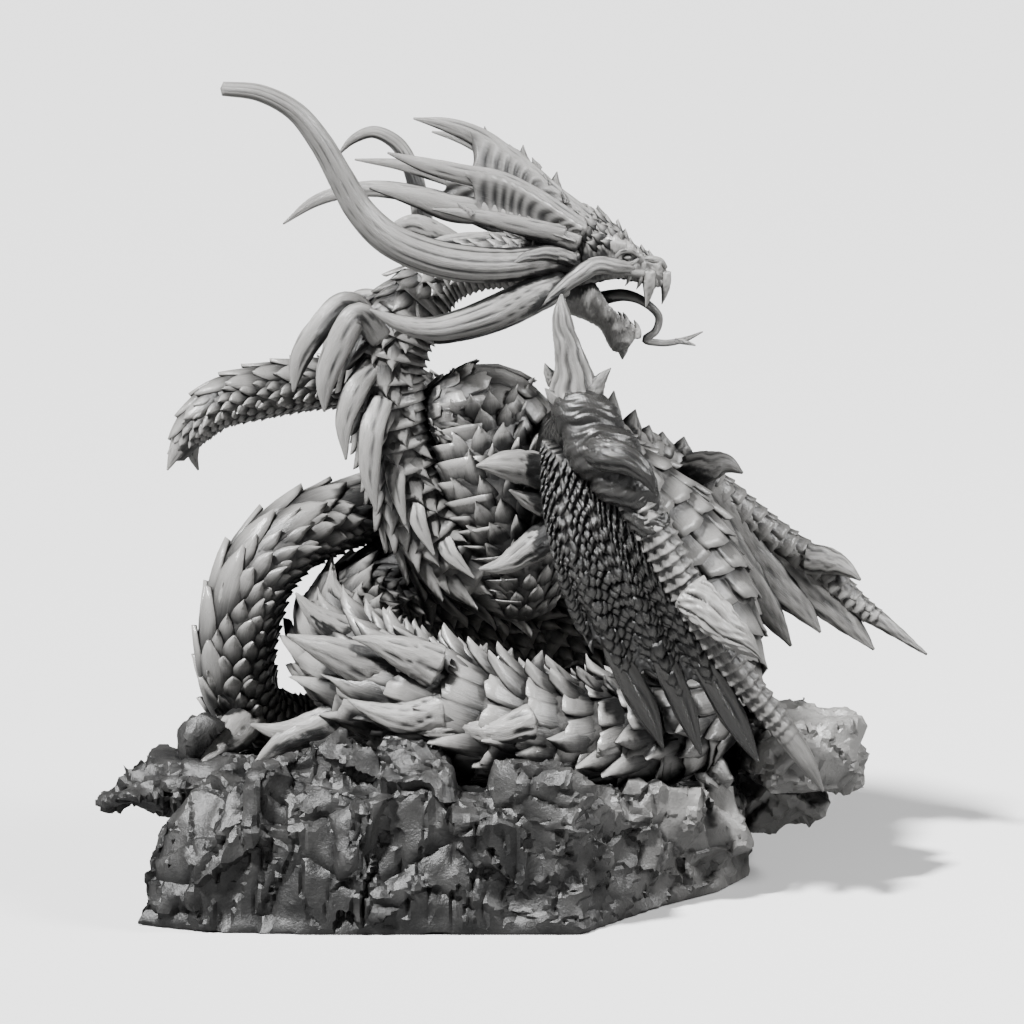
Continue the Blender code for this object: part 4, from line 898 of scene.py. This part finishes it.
def clad(heap, strand, kinds, seed, *numbers):
    """A band of scales on a strand, of one kind or of several mixed."""
    dice = random.Random(seed)
    groups = {}
    for spot in spots_on(strand, seed, *numbers):
        groups.setdefault(dice.randrange(len(kinds)), []).append(spot)
    for index, group in groups.items():
        points, faces, relief = kinds[index]
        s0, a0, length, width, height, lift, turn = np.array(group).T[:, :, None]
        share = points[:, 1][None]
        x, y, z = points[:, 0][None] * width, share * length, points[:, 2][None]
        s = s0 + y * np.cos(turn) - x * np.sin(turn)
        across = x * np.cos(turn) + y * np.sin(turn)
        radius = strand.read(strand.radius, np.clip(s, 0, strand.length))
        rise = (z - SCALE_SINK) * height + lift * np.maximum(share, 0) ** 1.5
        spread = strand.place(s, a0 + across / np.maximum(radius, 1 * MM), rise)
        jog = np.array([dice.random() * 40 for _ in group])[:, None]
        uv = np.stack([points[:, 0][None] * 1.2 + jog, share + jog * 1.7 + 0 * x], axis=-1)
        heap.add(spread, faces, relief[None], uv)


def set_scales(heap, kind, places, downs, normals, sizes, seed):
    """Copies of a scale set on a surface. Each size is a length, width, height and tip lift."""
    dice = random.Random(seed)
    points, faces, relief = kind
    downs = unit(downs - (downs * normals).sum(1)[:, None] * normals)
    across = np.cross(downs, normals)
    x, y, z = points.T[:, None, :, None]
    length, width, height, lift = np.asarray(sizes, float).T[:, :, None, None]
    out = places[:, None] + downs[:, None] * y * length + across[:, None] * x * width
    out = out + normals[:, None] * ((z - SCALE_SINK) * height + lift * np.maximum(y, 0) ** 1.5)
    jog = np.array([dice.random() * 40 for _ in places])[:, None]
    uv = np.stack([x[..., 0] * 1.2 + jog, y[..., 0] + jog * 1.7], -1)
    heap.add(out, faces, relief[None], uv)


def hide():
    """The skin under the scales of the neck, body and tail, coloured near black as painted shade between the
    scales.
    """
    heap = Heap()
    for name, strand in STRANDS.items():
        rings = int(strand.length / (1.8 * MM))
        sides = int(2 * math.pi * strand.radius.max() / (2.2 * MM))
        tube(heap, strand, rings, sides, pebbled(strand, seed=len(name)), blunt=0.6)
    heap.finish("hide", SKIN_PAINTED_SHADE)


def scales():
    """Leaf scales, torn, rimmed and belly plates of the neck, body, coil and tail."""
    for name, bands in BANDS.items():
        heap = Heap()
        for strand, kinds, *numbers in bands:
            clad(heap, STRANDS[strand], kinds, *numbers)
        heap.finish(name, PALE)


def thorn_rows(row, root=0.6):
    """The drawn curve of a thorn given by its root, tip and radius."""
    u, v, back, tip_u, tip_v, radius = row
    run, rise = tip_u - u, tip_v - v
    return [
        (u - run * 0.35, v - rise * 0.35, back, radius),
        (u, v, back, radius * 0.92),
        (u + run * 0.5 - rise * 0.06, v + rise * 0.5 + run * 0.06, back, radius * root),
        (tip_u, tip_v, back, radius * 0.06),
    ]


def fluted(heap, rows, rings, sides, count=7, depth=0.1, flat=1.0, **more):
    """A horn, spike or spur along a drawn curve, with its flutes and roots."""
    strand = Strand(rows, 300)
    tube(heap, strand, rings, sides, flutes(strand, count, depth, **more), flat, 0.35)


def carved(heap, rows, rings, sides, count, depth, flat, twist, seed, root=0.02):
    """A smooth horn, spike or blade along a drawn curve, with thin long grooves."""
    strand = Strand(rows, 300)
    tube(heap, strand, rings, sides, grooves(strand, count, depth, twist, root, seed), flat, 0.35)


def great_horns():
    """The four long horns: grooved, with a ringed root; the near one ends blunt."""
    heap = Heap()
    horns = ((GREAT_HORN, 190), (FAR_GREAT_HORN, 120), (LOWER_HORN, 130), (mirrored(LOWER_HORN), 110))
    for k, (rows, rings) in enumerate(horns):
        carved(heap, rows, rings, 50, 10, 0.05, 1.0, 0.9, k * 1.7, 0.05)
    heap.finish("great_horns", HORN)


def crest_horns():
    """The tines of the crest, the cheek horns and the spurs at the temples."""
    heap = Heap()
    for k, rows in enumerate([*NEAR_TINES, *FAR_TINES, SHORT_TINE, *FRILLS]):
        carved(heap, rows, 64, 26, 6, 0.12, 0.5, 0.3, k * 1.1)
    for k, rows in enumerate((CHEEK_HORN, mirrored(CHEEK_HORN), TEMPLE_SPUR, mirrored(TEMPLE_SPUR))):
        fluted(heap, rows, 60, 30, 8, 0.12, root=0.06, seed=k * 0.7 + 2)
    for k, row in enumerate(HEAD_THORNS + CREST_THORNS):
        fluted(heap, thorn_rows(row), 22, 14, 5, 0.10, 0.7, seed=k)
    heap.finish("crest_horns", HORN)


def grid_normals(grid):
    """Normals of a grid of places."""
    return unit(np.cross(np.gradient(grid, axis=0), np.gradient(grid, axis=1)))


def fan(curves, reach, sag, rows, cols, start=0.0):
    """A grid of places over a fan of curves, cut in an arc between their tips, and its normals."""
    lines = [spline(placed(curve), 121)[:, :3] for curve in curves]
    b = np.linspace(0, len(lines) - 1, cols)
    first = np.minimum(b.astype(int), len(lines) - 2)
    f = b - first
    reach = np.interp(b, range(len(lines)), reach)
    reach = reach * (1 - sag * 4 * f * (1 - f))
    grid = np.zeros((rows, cols, 3))
    for col in range(cols):
        share = start + (reach[col] - start) * np.linspace(0, 1, rows)
        pair = []
        for line in lines[first[col] : first[col] + 2]:
            at = share * (len(line) - 1)
            pair.append(np.stack([np.interp(at, range(len(line)), line[:, k]) for k in range(3)], -1))
        grid[:, col] = pair[0] * (1 - f[col]) + pair[1] * f[col]
    return grid, grid_normals(grid), f


def sheet(heap, grid, normals, thick, relief):
    """A closed skin on a grid: both of its faces carry the relief, and its rim is joined."""
    rows, cols = grid.shape[:2]
    half = normals * (thick / 2 + relief)[..., None]
    rows_at, cols_at = np.meshgrid(range(rows), range(cols), indexing="ij")
    index = rows_at * cols + cols_at
    quads = np.stack([index[:-1, :-1], index[1:, :-1], index[1:, 1:], index[:-1, 1:]], -1).reshape(-1, 4)
    total = rows * cols
    faces = quads.tolist() + (quads[:, ::-1] + total).tolist()
    rim = [*index[:, 0], *index[-1, 1:], *index[-2::-1, -1], *index[0, -2:0:-1]]
    for a, b in zip(rim, rim[1:] + rim[:1]):
        faces.append([int(b), int(a), int(a) + total, int(b) + total])
    # Painted shade: darker where the relief sinks, on both faces.
    shade = share_of(relief).reshape(-1)
    uv = np.stack([cols_at / cols * 4, rows_at / rows * 4], -1).reshape(-1, 2)
    heap.add(
        np.vstack([(grid + half).reshape(-1, 3), (grid - half).reshape(-1, 3)]), faces,
        np.concatenate([shade] * 2), np.vstack([uv, uv]),
    )


def creases(points, size, stretch=(1, 1, 1), sharp=3.0):
    """How far each place lies from the nearest crack between plates of a size, from 0 to 1."""
    out = np.zeros(len(points))
    for k, point in enumerate(points * (np.array(stretch, float) / size)):
        near, _ = voronoi(point)
        out[k] = min(1.0, (near[1] - near[0]) * sharp)
    return out


def crest_webs():
    """The ribbed skin between the tines of the crest."""
    heap = Heap()
    jobs = (
        (NEAR_TINES, [0.74, 0.64, 0.54], 0.08, 0),
        (FAR_TINES, [0.72, 0.62, 0.52], 0.08, 1),
        ([NEAR_TINES[0], FAR_TINES[0]], [0.72, 0.66], 0.1, 2),
    )
    for curves, reach, sag, seed in jobs:
        rows, cols = 84, 28 * (len(curves) - 1) + 1
        grid, normals, f = fan(curves, reach, sag, rows, cols, 0.02)
        a = np.linspace(0, 1, rows)[:, None]
        bow = 4 * f * (1 - f)
        phase = a * 10 - 0.9 * bow[None] + 0.35 * np.sin(a * 9 + seed)
        ribs = (0.5 + 0.5 * np.sin(phase * 2 * np.pi)) ** 0.8 * (0.3 + 0.7 * bow[None])
        relief = (0.8 * ribs + 1.4 * (1 - bow[None]) * (1 - 0.4 * a) - 0.2 * bow[None] ** 2) * MM
        sheet(heap, grid, normals, 3.4 * MM, relief)
    heap.finish("crest_webs", PALE)


def ring_through(loop, count):
    """A smooth closed ring through the points of an outline."""
    closed = np.vstack([loop, loop, loop, loop[:1]])
    return smooth_through(closed, distances(closed), 3 * count + 1)[count : 2 * count]


def loft(heap, rows, profile, rings, sides, lumps, size, depth):
    """A piece of the head from its stations, worked with lumps and with scales of a size."""
    stations = np.array(rows, float)
    dense = smooth_through(stations, distances(stations[:, :4]), rings)
    half = np.array(profile, float)
    loop = ring_through(np.vstack([half, half[-2:0:-1] * [-1, 1]]), sides)
    grid = np.zeros((rings, sides, 3))
    for k, row in enumerate(dense):
        middle, rise = (row[:2] + row[2:4]) / 2, (row[:2] - row[2:4]) / 2
        for j, (wide, high) in enumerate(loop):
            spot = middle + rise * high
            grid[k, j] = drawn(spot[0], spot[1], row[4] - row[5] * wide)
    flat = grid.reshape(-1, 3)
    around = np.concatenate([grid, grid[:, :2]], axis=1)
    normals = np.cross(np.gradient(around, axis=0), np.gradient(around, axis=1))[:, 1:-1]
    normals = unit(np.concatenate([normals[:, -1:], normals[:, :-1]], axis=1)).reshape(-1, 3)
    if ((flat - flat.mean(0)) * normals).sum() < 0:
        normals = -normals
    relief = np.zeros(len(flat))
    for u, v, back, wide, amount in lumps:
        for side in (1, -1):
            spot = np.array(drawn(u, v, 3 - (3 - back) * side))
            relief += amount * MM * np.exp(-((flat - spot) ** 2).sum(1) / (wide * MM) ** 2)
    relief += (creases(flat, size * MM, sharp=2.6) - 0.6) * depth * MM
    moved = flat + normals * relief[:, None]
    ends = np.vstack([grid[0].mean(0), moved.reshape(grid.shape)[-1].mean(0)])
    # Painted shade: darker in dips and creases, lighter on lumps; set values at the two ends.
    shade = np.clip(0.62 + relief / (1.6 * MM), 0, 1)
    uv = np.stack([flat[:, 0] / (6 * MM), flat[:, 2] / (6 * MM)], -1)
    heap.add(
        np.vstack([moved, ends]), tube_faces(rings, sides),
        np.concatenate([shade, [0.3, 0.6]]), np.vstack([uv, uv[[0, -1]]]),
    )
    return moved, normals


def nearest(places, normals, spots):
    """For each spot, the nearest of the places and its normal."""
    found = [int(((places - np.array(spot)) ** 2).sum(1).argmin()) for spot in spots]
    return places[found], normals[found]


def head():
    """The open-mouthed head: scaly brow and snout, eyes, nostrils, lips and wrinkled jaw."""
    heap = Heap()
    skull, out = loft(heap, SKULL, SKULL_PROFILE, 110, 88, SKULL_LUMPS, 2.3, 0.55)
    loft(heap, JAW, JAW_PROFILE, 80, 64, JAW_LUMPS, 1.7, 0.35)
    fluted(heap, CHIN_SPUR, 24, 20, 6, 0.1)
    for k, rows in enumerate(LIDS):
        carved(heap, rows, 30, 16, 4, 0.08, 0.9, 0.3, k)
        carved(heap, mirrored(rows, 0.0), 30, 16, 4, 0.08, 0.9, 0.3, k)
    heap.finish("head", PALE)

    heap = Heap()
    sizes = [(row[3] * MM, row[4] * MM, 1.0 * MM, 0.8 * MM) for row in BROW_SCALES]
    ways = np.tile(np.array([-1.0, 0.0, 0.45]), (len(sizes), 1))
    for side in (1, -1):
        spots = [drawn(u, v, 3 - (3 - back) * side) for u, v, back, *_ in BROW_SCALES]
        at, normals = nearest(skull, out, spots)
        set_scales(heap, LEAF, at, ways, normals, sizes, 7)
    heap.finish("brow_scales", PALE)

    heap = Heap()
    rows = np.linspace(0, np.pi, 14)[:, None]
    turn = np.linspace(0, 2 * np.pi, 20, endpoint=False)[None]
    ball = np.stack([
        np.sin(rows) * np.cos(turn) * 2.2, np.cos(rows) + 0 * turn, np.sin(rows) * np.sin(turn) * 1.3,
    ], -1)[1:-1].reshape(-1, 3)
    ball = np.vstack([ball, [[0, 1.0, 0], [0, -1.0, 0]]]) * MM
    for side in (1, -1):
        at, normal = nearest(skull, out, [drawn(45.4, 268.2, 3 - 11.6 * side)])
        shell = ball * [1, side * 1.6, 1] + at[0] + normal[0] * 0.2 * MM
        heap.add(shell, tube_faces(12, 20), 0.5, (0.5, 0.5))
    heap.finish("eyes", HORN)


def teeth():
    """The fangs of both jaws and the forked tongue."""
    heap = Heap()
    for u, v, back, length, radius in BIG_FANGS + SMALL_TEETH:
        for side in (1, -1):
            depth = back * side - 0.5
            rows = [
                (u + 0.4, v - length * 0.25, depth, radius * 1.05),
                (u + 0.5, v + length * 0.15, depth, radius),
                (u + 0.1, v + length * 0.6, depth - 0.3 * side, radius * 0.6),
                (u - 0.9, v + length, depth - 0.5 * side, radius * 0.08),
            ]
            fluted(heap, rows, 20, 14, 5, 0.05)
    heap.finish("fangs", TOOTH)
    heap = Heap()
    fluted(heap, TONGUE, 110, 20, 3, 0.05, 0.8)
    fluted(heap, TONGUE_FORK, 24, 14, 3, 0.05)
    heap.finish("tongue", HORN)


def spurs():
    """Spikes of the mane and the grooved spurs of breast, coil and tail."""
    heap = Heap()
    for k, rows in enumerate(MANE):
        carved(heap, rows, 44, 24, 4, 0.12, 0.5, 0.2, k)
    for k, rows in enumerate(BREAST_SPURS + COIL_SPURS):
        carved(heap, rows, 48, 36, 6, 0.17, 0.8, 0.5, k * 1.3)
    for k, rows in enumerate(TAIL_PRONGS + TAIL_FIN):
        carved(heap, rows, 44, 24, 5, 0.14, 0.55, 0.2, k)
    for k, row in enumerate(COIL_PEAKS + RIDGE_PEAKS):
        fluted(heap, thorn_rows(row), 30, 20, 6, 0.12, 0.7, seed=k)
    heap.finish("spurs", HORN)


def wing_arm():
    """The folded near wing's sleeve and shoulder, thumb, spurs, smooth blades and long finger."""
    heap = Heap()
    sleeve = Strand([(*row[:3], row[3] * 0.86, -0.6, -0.8, 0) for row in SLEEVE])

    def folds(s, angle):
        swirl = s / (2.9 * MM) + angle + 0.7 * np.sin(angle * 2 + s / (9 * MM)) + 0.3 * np.sin(angle * 5)
        fine = 0.25 * np.sin(swirl * 3 + angle * 4) + 0.12 * np.sin(swirl * 7 - angle * 3)
        return (np.abs(np.sin(swirl / 2)) ** 0.6 - 0.62 + fine * 0.5) * 2.8 * MM

    tube(heap, sleeve, 120, 76, folds)
    for rows in (SHOULDER, FAR_SHOULDER):
        strand = Strand(rows)
        tube(heap, strand, 50, 56, pebbled(strand, 0.6, 2.6))
    # The sleeve and shoulders are coloured near black: painted shade.
    heap.finish("sleeve", WING_PAINTED_SHADE)

    heap, blades = Heap(), Heap()
    fluted(heap, THUMB, 96, 52, 7, 0.2, twist=0.4)
    carved(blades, WRIST_HOOK, 80, 44, 6, 0.18, 0.8, 1.0, 3)
    carved(heap, FINGER_SPUR, 110, 64, 6, 0.3, 0.9, 1.2, 5)
    for k, row in enumerate(COLLAR_THORNS):
        fluted(heap, thorn_rows(row), 30, 20, 5, 0.16, 0.6, seed=k)
    for k, rows in enumerate(NEAR_FINGERS):
        root = (*rows[2][:2], rows[2][2] + 4, 3)
        blade = [root, (*rows[3][:2], rows[3][2], 5), *rows[4:]]
        carved(blades, blade, 90, 36, 4, 0.16, 0.42, 0.5, k)
    heap.finish("wing_horns", HORN)
    # The blades are coloured near black: painted shade.
    blades.finish("wing_blades", WING_PAINTED_SHADE)

    heap = Heap()
    finger = Strand([(*row, 0.5, -0.8, 0.3) for row in LONG_FINGER])

    def beads(s, angle):
        share = s / finger.length
        lip = ((s / (4.6 * MM) + 0.12 * np.cos(angle * 2)) % 1) ** 1.6
        keep = np.clip((0.84 - share) / 0.1, 0, 1)
        blocky = 0.10 * np.cos((angle - 0.4) * 4) + 0.05 * np.sin(angle * 9 + s / MM)
        cut = np.exp(-((np.sin(angle * 3 + share * 2) / 0.25) ** 2))
        return finger.read(finger.radius, s) * (keep * (0.2 * lip + blocky - 0.14) - (1 - keep) * 0.14 * cut)

    tube(heap, finger, 240, 32, beads)
    heap.finish("long_finger", HORN)


def wing_skin():
    """The near wing's web, and the rows of small scales that cover it, both coloured dark as painted shade.
    """
    heap = Heap()
    rows, cols = 90, 121
    curves = [NEAR_EDGE, *NEAR_FINGERS, LONG_FINGER]
    grid, normals, f = fan(curves, [0.84, 0.85, 0.86, 0.86, 0.88], 0.17, rows, cols)
    if normals[rows // 2, cols // 2][1] > 0:
        normals = -normals
    a = np.linspace(0, 1, rows)[:, None]
    dip = -2.2 * MM * (4 * f * (1 - f))[None] * np.clip(a * 1.6 - 0.3, 0, 1)
    pebbles = creases(grid.reshape(-1, 3), 3.0 * MM, (1, 1, 0.75), 2.4).reshape(rows, cols)
    sheet(heap, grid, normals, 3.0 * MM, 3 * MM * (1 - a) + dip + (pebbles - 0.5) * 0.8 * MM)
    heap.finish("wing_web", SKIN_PAINTED_SHADE)

    heap = Heap()
    dice = random.Random(65)
    places, downs, outs, sizes = [], [], [], []
    lines, across = 30, 17
    for row in range(lines):
        share = row / lines
        for k in range(across):
            col = (k + 0.5 * (row % 2) + dice.uniform(-0.12, 0.12)) / across
            r = min(rows - 3, max(1, int((share + dice.uniform(-0.004, 0.004)) * 0.9 * rows)))
            c = min(cols - 2, max(1, int(col * cols)))
            wide = np.linalg.norm(grid[r, min(c + 2, cols - 1)] - grid[r, max(c - 2, 0)]) * cols / across / 4
            long = np.linalg.norm(grid[min(r + 2, rows - 1), c] - grid[max(r - 2, 0), c]) * rows / lines / 4
            places.append(grid[r, c] + normals[r, c] * (1.6 * MM + 3 * MM * (1 - r / rows) + dip[r, c]))
            downs.append(grid[min(rows - 1, r + 3), c] - grid[r - 1, c])
            outs.append(normals[r, c])
            big = dice.uniform(0.92, 1.1)
            lift = (1.5 - 1.2 * share) * MM * dice.uniform(0.5, 1.3)
            sizes.append((long * 1.75 * big, min(wide, 4.2 * MM) * 1.25 * big, (1.8 - share) * MM, lift))
    places, downs, outs, sizes = [np.array(part) for part in (places, downs, outs, sizes)]
    half = across * lines // 2
    set_scales(heap, KEELED, places[:half], downs[:half], outs[:half], sizes[:half], 66)
    set_scales(heap, DROP, places[half:], downs[half:], outs[half:], sizes[half:], 67)
    heap.finish("wing_scales", WING_PAINTED_SHADE)


def far_wing():
    """The far wing: arm with two rows of plates, crown of thorns, hooks and fibrous web."""
    heap = Heap()
    arm = Strand([(*row, 0.3, -0.5, 0.8) for row in FAR_ARM])
    tube(heap, arm, 180, 32, flutes(arm, 5, 0.05, rough=0.2))
    for k, rows in enumerate(FAR_SPURS):
        fluted(heap, rows, 70, 36, 8, 0.10, seed=k)
    for k, row in enumerate(FAR_THORNS):
        fluted(heap, thorn_rows(row, 0.8), 34, 22, 6, 0.16, 0.6, seed=k)
    for k, rows in enumerate(FAR_FINGERS):
        fluted(heap, rows, 100, 26, 5, 0.10, 0.4, seed=k, rough=0.2)
    heap.finish("far_arm", HORN)
    heap = Heap()
    clad(heap, arm, PLATES, 71, 0.1, 0.84, -95, 95, 0.85, 1.5, 0.12, 0.04, 1.3, 0.04)
    heap.finish("far_arm_plates", PALE)
    heap = Heap()
    rows, cols = 96, 121
    grid, normals, f = fan([*FAR_FINGERS, FAR_ARM[2:]], [0.88, 0.88, 0.88, 0.82], 0.12, rows, cols)
    a = np.linspace(0, 1, rows)[:, None]
    b = np.linspace(0, 1, cols)[None]
    fibres = np.sin(b * 190 + 3 * np.sin(a * 9) + 2 * np.sin(b * 31)) * 0.5 + np.sin(b * 77 - 4 * a) * 0.5
    folds = -1.4 * MM * (4 * f * (1 - f))[None] * a
    sheet(heap, grid, normals, 2.4 * MM, folds + (fibres * 0.22 + 0.1 * np.sin(a * 60 + b * 90)) * MM)
    heap.finish("far_web", PALE)


def facets(points, cell, seed):
    """Broken rock: each cell is a tilted flat, met in sharp edges. Height and how far the edge is."""
    height, edge = np.zeros(len(points)), np.zeros(len(points))
    tilts = {}
    for k, point in enumerate(points / (np.array(cell) * MM) + seed):
        spot = Vector(point)
        values = []
        for distance, centre in zip(*voronoi(spot)):
            key = tuple(round(number, 3) for number in centre)
            if key not in tilts:
                dice = random.Random(str(key))
                tilts[key] = Vector([dice.uniform(-0.8, 0.8) for _ in range(3)]), dice.uniform(-0.15, 0.15)
            tilt, rise = tilts[key]
            values.append(rise + 0.85 * tilt.dot(spot - centre) + 0.5 * distance**2)
        values.sort()
        height[k] = values[0]
        edge[k] = min(1.0, (values[1] - values[0]) * 6)
    return height, edge


def read_mesh(mesh):
    """The places of a mesh's vertices and their normals."""
    at, out = np.zeros((2, len(mesh.vertices) * 3))
    mesh.vertices.foreach_get("co", at)
    mesh.vertex_normals.foreach_get("vector", out)
    return at.reshape(-1, 3), out.reshape(-1, 3)


def broken_rock():
    """The rock: the frame's own boulders, broken in facets of five sizes."""
    shape = bmesh.new()
    shape.from_mesh(frame["nodes"]["rock_base"].data)
    bmesh.ops.remove_doubles(shape, verts=shape.verts, dist=1e-6)
    mesh = bpy.data.meshes.new("rock")
    shape.to_mesh(mesh)
    shape.free()
    made = bpy.data.objects.new("rock", mesh)
    bpy.context.scene.collection.objects.link(made)
    bpy.ops.object.select_all(action="DESELECT")
    bpy.context.view_layer.objects.active = made
    made.select_set(True)
    remesh = made.modifiers.new("Voxels", "REMESH")
    remesh.mode = "VOXEL"
    remesh.voxel_size = ROCK_VOXEL
    bpy.ops.object.modifier_apply(modifier=remesh.name)
    mesh = made.data
    at, out = read_mesh(mesh)
    left = np.clip((4 * MM - at[:, 0]) / (24 * MM) + 0.5, 0, 1)
    seam = np.array([noise(Vector(p) * 34) for p in at]) * 6 * MM
    bent = at + seam[:, None] * [1, 1, 0.6]
    lumps, edge_l = facets(bent, (34, 34, 30), 3.0)
    tall, edge_a = facets(bent, (12, 12, 40), 0.0)
    broad, edge_b = facets(bent, (17, 17, 12), 5.0)
    small, edge_c = facets(bent, (7, 7, 8), 11.0)
    chips, edge_d = facets(at, (3.6, 3.6, 3.8), 17.0)
    relief = lumps * 8 + left * tall * 7 + (1 - left) * broad * 6 + small * 1.6 + chips * 0.45
    relief = relief - 3 * (1 - edge_l) ** 2 - 2.2 * left * (1 - edge_a) ** 3
    relief = relief - 1.6 * (1 - left) * (1 - edge_b) ** 3 + 1.0
    calm = np.clip(at[:, 2] / (6 * MM), 0, 1)
    held = at + out * (np.clip(relief, -11, 4) * MM * calm)[:, None]
    held[:, 2] = np.maximum(held[:, 2], 0)
    mesh.vertices.foreach_set("co", held.reshape(-1))
    layer = mesh.attributes.new("relief", "FLOAT", "POINT")
    # Painted shade: darker in the cracks between facets, towards the left and towards the bottom; painted
    # light on the right-hand slab.
    cracks = left * edge_a + (1 - left) * edge_b
    shade = 0.08 + 0.2 * edge_l + 0.3 * cracks + 0.12 * edge_c + 0.06 * edge_d + 0.02 * relief
    shade = shade * (0.22 + 0.78 * np.clip((at[:, 0] - 10 * MM) / (60 * MM), 0, 1))
    shade = shade * (0.5 + 0.5 * np.clip(at[:, 2] / (45 * MM), 0, 1))
    shade = shade + 0.3 * np.clip(at[:, 0] / (40 * MM) - 1.2, 0, 1)
    layer.data.foreach_set("value", np.clip(shade, 0, 1))
    mesh.update()
    thin = made.modifiers.new("Facets", "DECIMATE")
    thin.ratio = ROCK_KEPT
    bpy.ops.object.modifier_apply(modifier=thin.name)
    mesh = made.data
    mesh.materials.clear()
    mesh.materials.append(STONE)
    mesh.update()
    bpy.ops.object.shade_smooth_by_angle(angle=ROCK_EDGE)
    declare(made, "rock_base")


def deepened():
    """Paints shade into every piece: lowers its painted shade values where other parts stand close in front
    of it.
    """
    cell = 2 * MM
    low = np.array(cad_box[0]) - 24 * MM
    size = np.ceil((np.array(cad_box[1]) + 24 * MM - low) / cell).astype(int)
    filled = np.zeros(size, np.float32)

    def cells(places):
        """The cells that places lie in, as indices."""
        return tuple(np.clip((places - low) / cell, 0, size - 1).astype(int).T)

    stock = []
    for made in bpy.data.objects:
        if made.type == "MESH" and "relief" in made.data.attributes:
            at, out = read_mesh(made.data)
            filled[cells(at)] = 1
            stock.append((made, at, out))
    for axis in (0, 1, 2, 0, 1, 2):
        filled = (np.roll(filled, 1, axis) + 2 * filled + np.roll(filled, -1, axis)) / 4
    for made, at, out in stock:
        hidden = np.zeros(len(at))
        for step, weight in LOOK_OUT:
            hidden += weight * filled[cells(at + out * step * MM)]
        value = np.zeros(len(at))
        layer = made.data.attributes["relief"].data
        layer.foreach_get("value", value)
        layer.foreach_set("value", value * (1 - np.clip(hidden * 1.9 - 0.22, 0, 0.95)))


def grey(value):
    """A grey as a colour with its alpha."""
    return (value, value, value, 1)


def floor():
    """A pale floor that throws little light back on the statue."""
    bpy.ops.mesh.primitive_plane_add(size=12, location=(0, 0, -0.5 * MM))
    made = bpy.context.active_object
    made.name = "floor"
    pale = bpy.data.materials.new("floor_pale")
    pale.use_nodes = True
    tree = pale.node_tree
    ray = tree.nodes.new("ShaderNodeLightPath")
    seen = tree.nodes.new("ShaderNodeMix")
    seen.data_type = "RGBA"
    tree.links.new(ray.outputs["Is Camera Ray"], seen.inputs["Factor"])
    seen.inputs["A"].default_value = grey(0.14)
    seen.inputs["B"].default_value = grey(0.9)
    shader = tree.nodes["Principled BSDF"]
    tree.links.new(seen.outputs["Result"], shader.inputs["Base Color"])
    shader.inputs["Roughness"].default_value = 0.9
    made.data.materials.append(pale)


def surroundings():
    """Soft light from all round, brighter near the ground."""
    world = bpy.data.worlds.new("studio")
    bpy.context.scene.world = world
    world.use_nodes = True
    nodes, links = world.node_tree.nodes, world.node_tree.links
    place = nodes.new("ShaderNodeTexCoord")
    split = nodes.new("ShaderNodeSeparateXYZ")
    ramp = nodes.new("ShaderNodeValToRGB")
    stops = ramp.color_ramp.elements
    stops[0].position = 0.0
    stops[0].color = grey(0.6)
    stops[1].position = 0.22
    stops[1].color = (0.07, 0.07, 0.072, 1)
    links.new(place.outputs["Generated"], split.inputs[0])
    links.new(split.outputs["Z"], ramp.inputs["Fac"])
    links.new(ramp.outputs["Color"], nodes["Background"].inputs["Color"])
    nodes["Background"].inputs["Strength"].default_value = 0.3


def add_object(name, data, place, aim):
    """A light or camera at a place, looking along a direction."""
    made = bpy.data.objects.new(name, data)
    bpy.context.scene.collection.objects.link(made)
    made.location = place
    made.rotation_euler = aim.to_track_quat("-Z", "Y").to_euler()
    return made


def light(name, kind, place, power, size):
    """A light aimed at the middle of the statue. A sun's size is an angle."""
    data = bpy.data.lights.new(name, kind)
    data.energy = power
    setattr(data, "angle" if kind == "SUN" else "size", size)
    add_object(name, data, place, Vector((0, 0, 0.17)) - Vector(place))


def camera():
    """The camera at the photo's angle, far off, with the photo's framing."""
    data = bpy.data.cameras.new("camera")
    data.lens = LENS
    data.sensor_width = SENSOR
    data.clip_end = 50
    middle = Vector((0, 0, 0.151 / math.cos(SHEET_TILT)))
    aim = Vector((0, math.cos(SHEET_TILT), -math.sin(SHEET_TILT)))
    bpy.context.scene.camera = add_object("camera", data, middle - aim * (FRAME_WIDTH * LENS / SENSOR), aim)


for make in (
    hide, scales, great_horns, crest_horns, crest_webs, head, teeth, spurs, wing_arm, wing_skin,
    far_wing, broken_rock, deepened, floor, surroundings,
):
    make()
light("key", "SUN", (-0.62, -0.6, 1.3), 11, 6 * DEG)
light("kicker", "AREA", (-1.3, -0.45, 0.5), 3, 0.3)
light("rim", "AREA", (1.2, -0.35, 1.0), 26, 0.35)
camera()
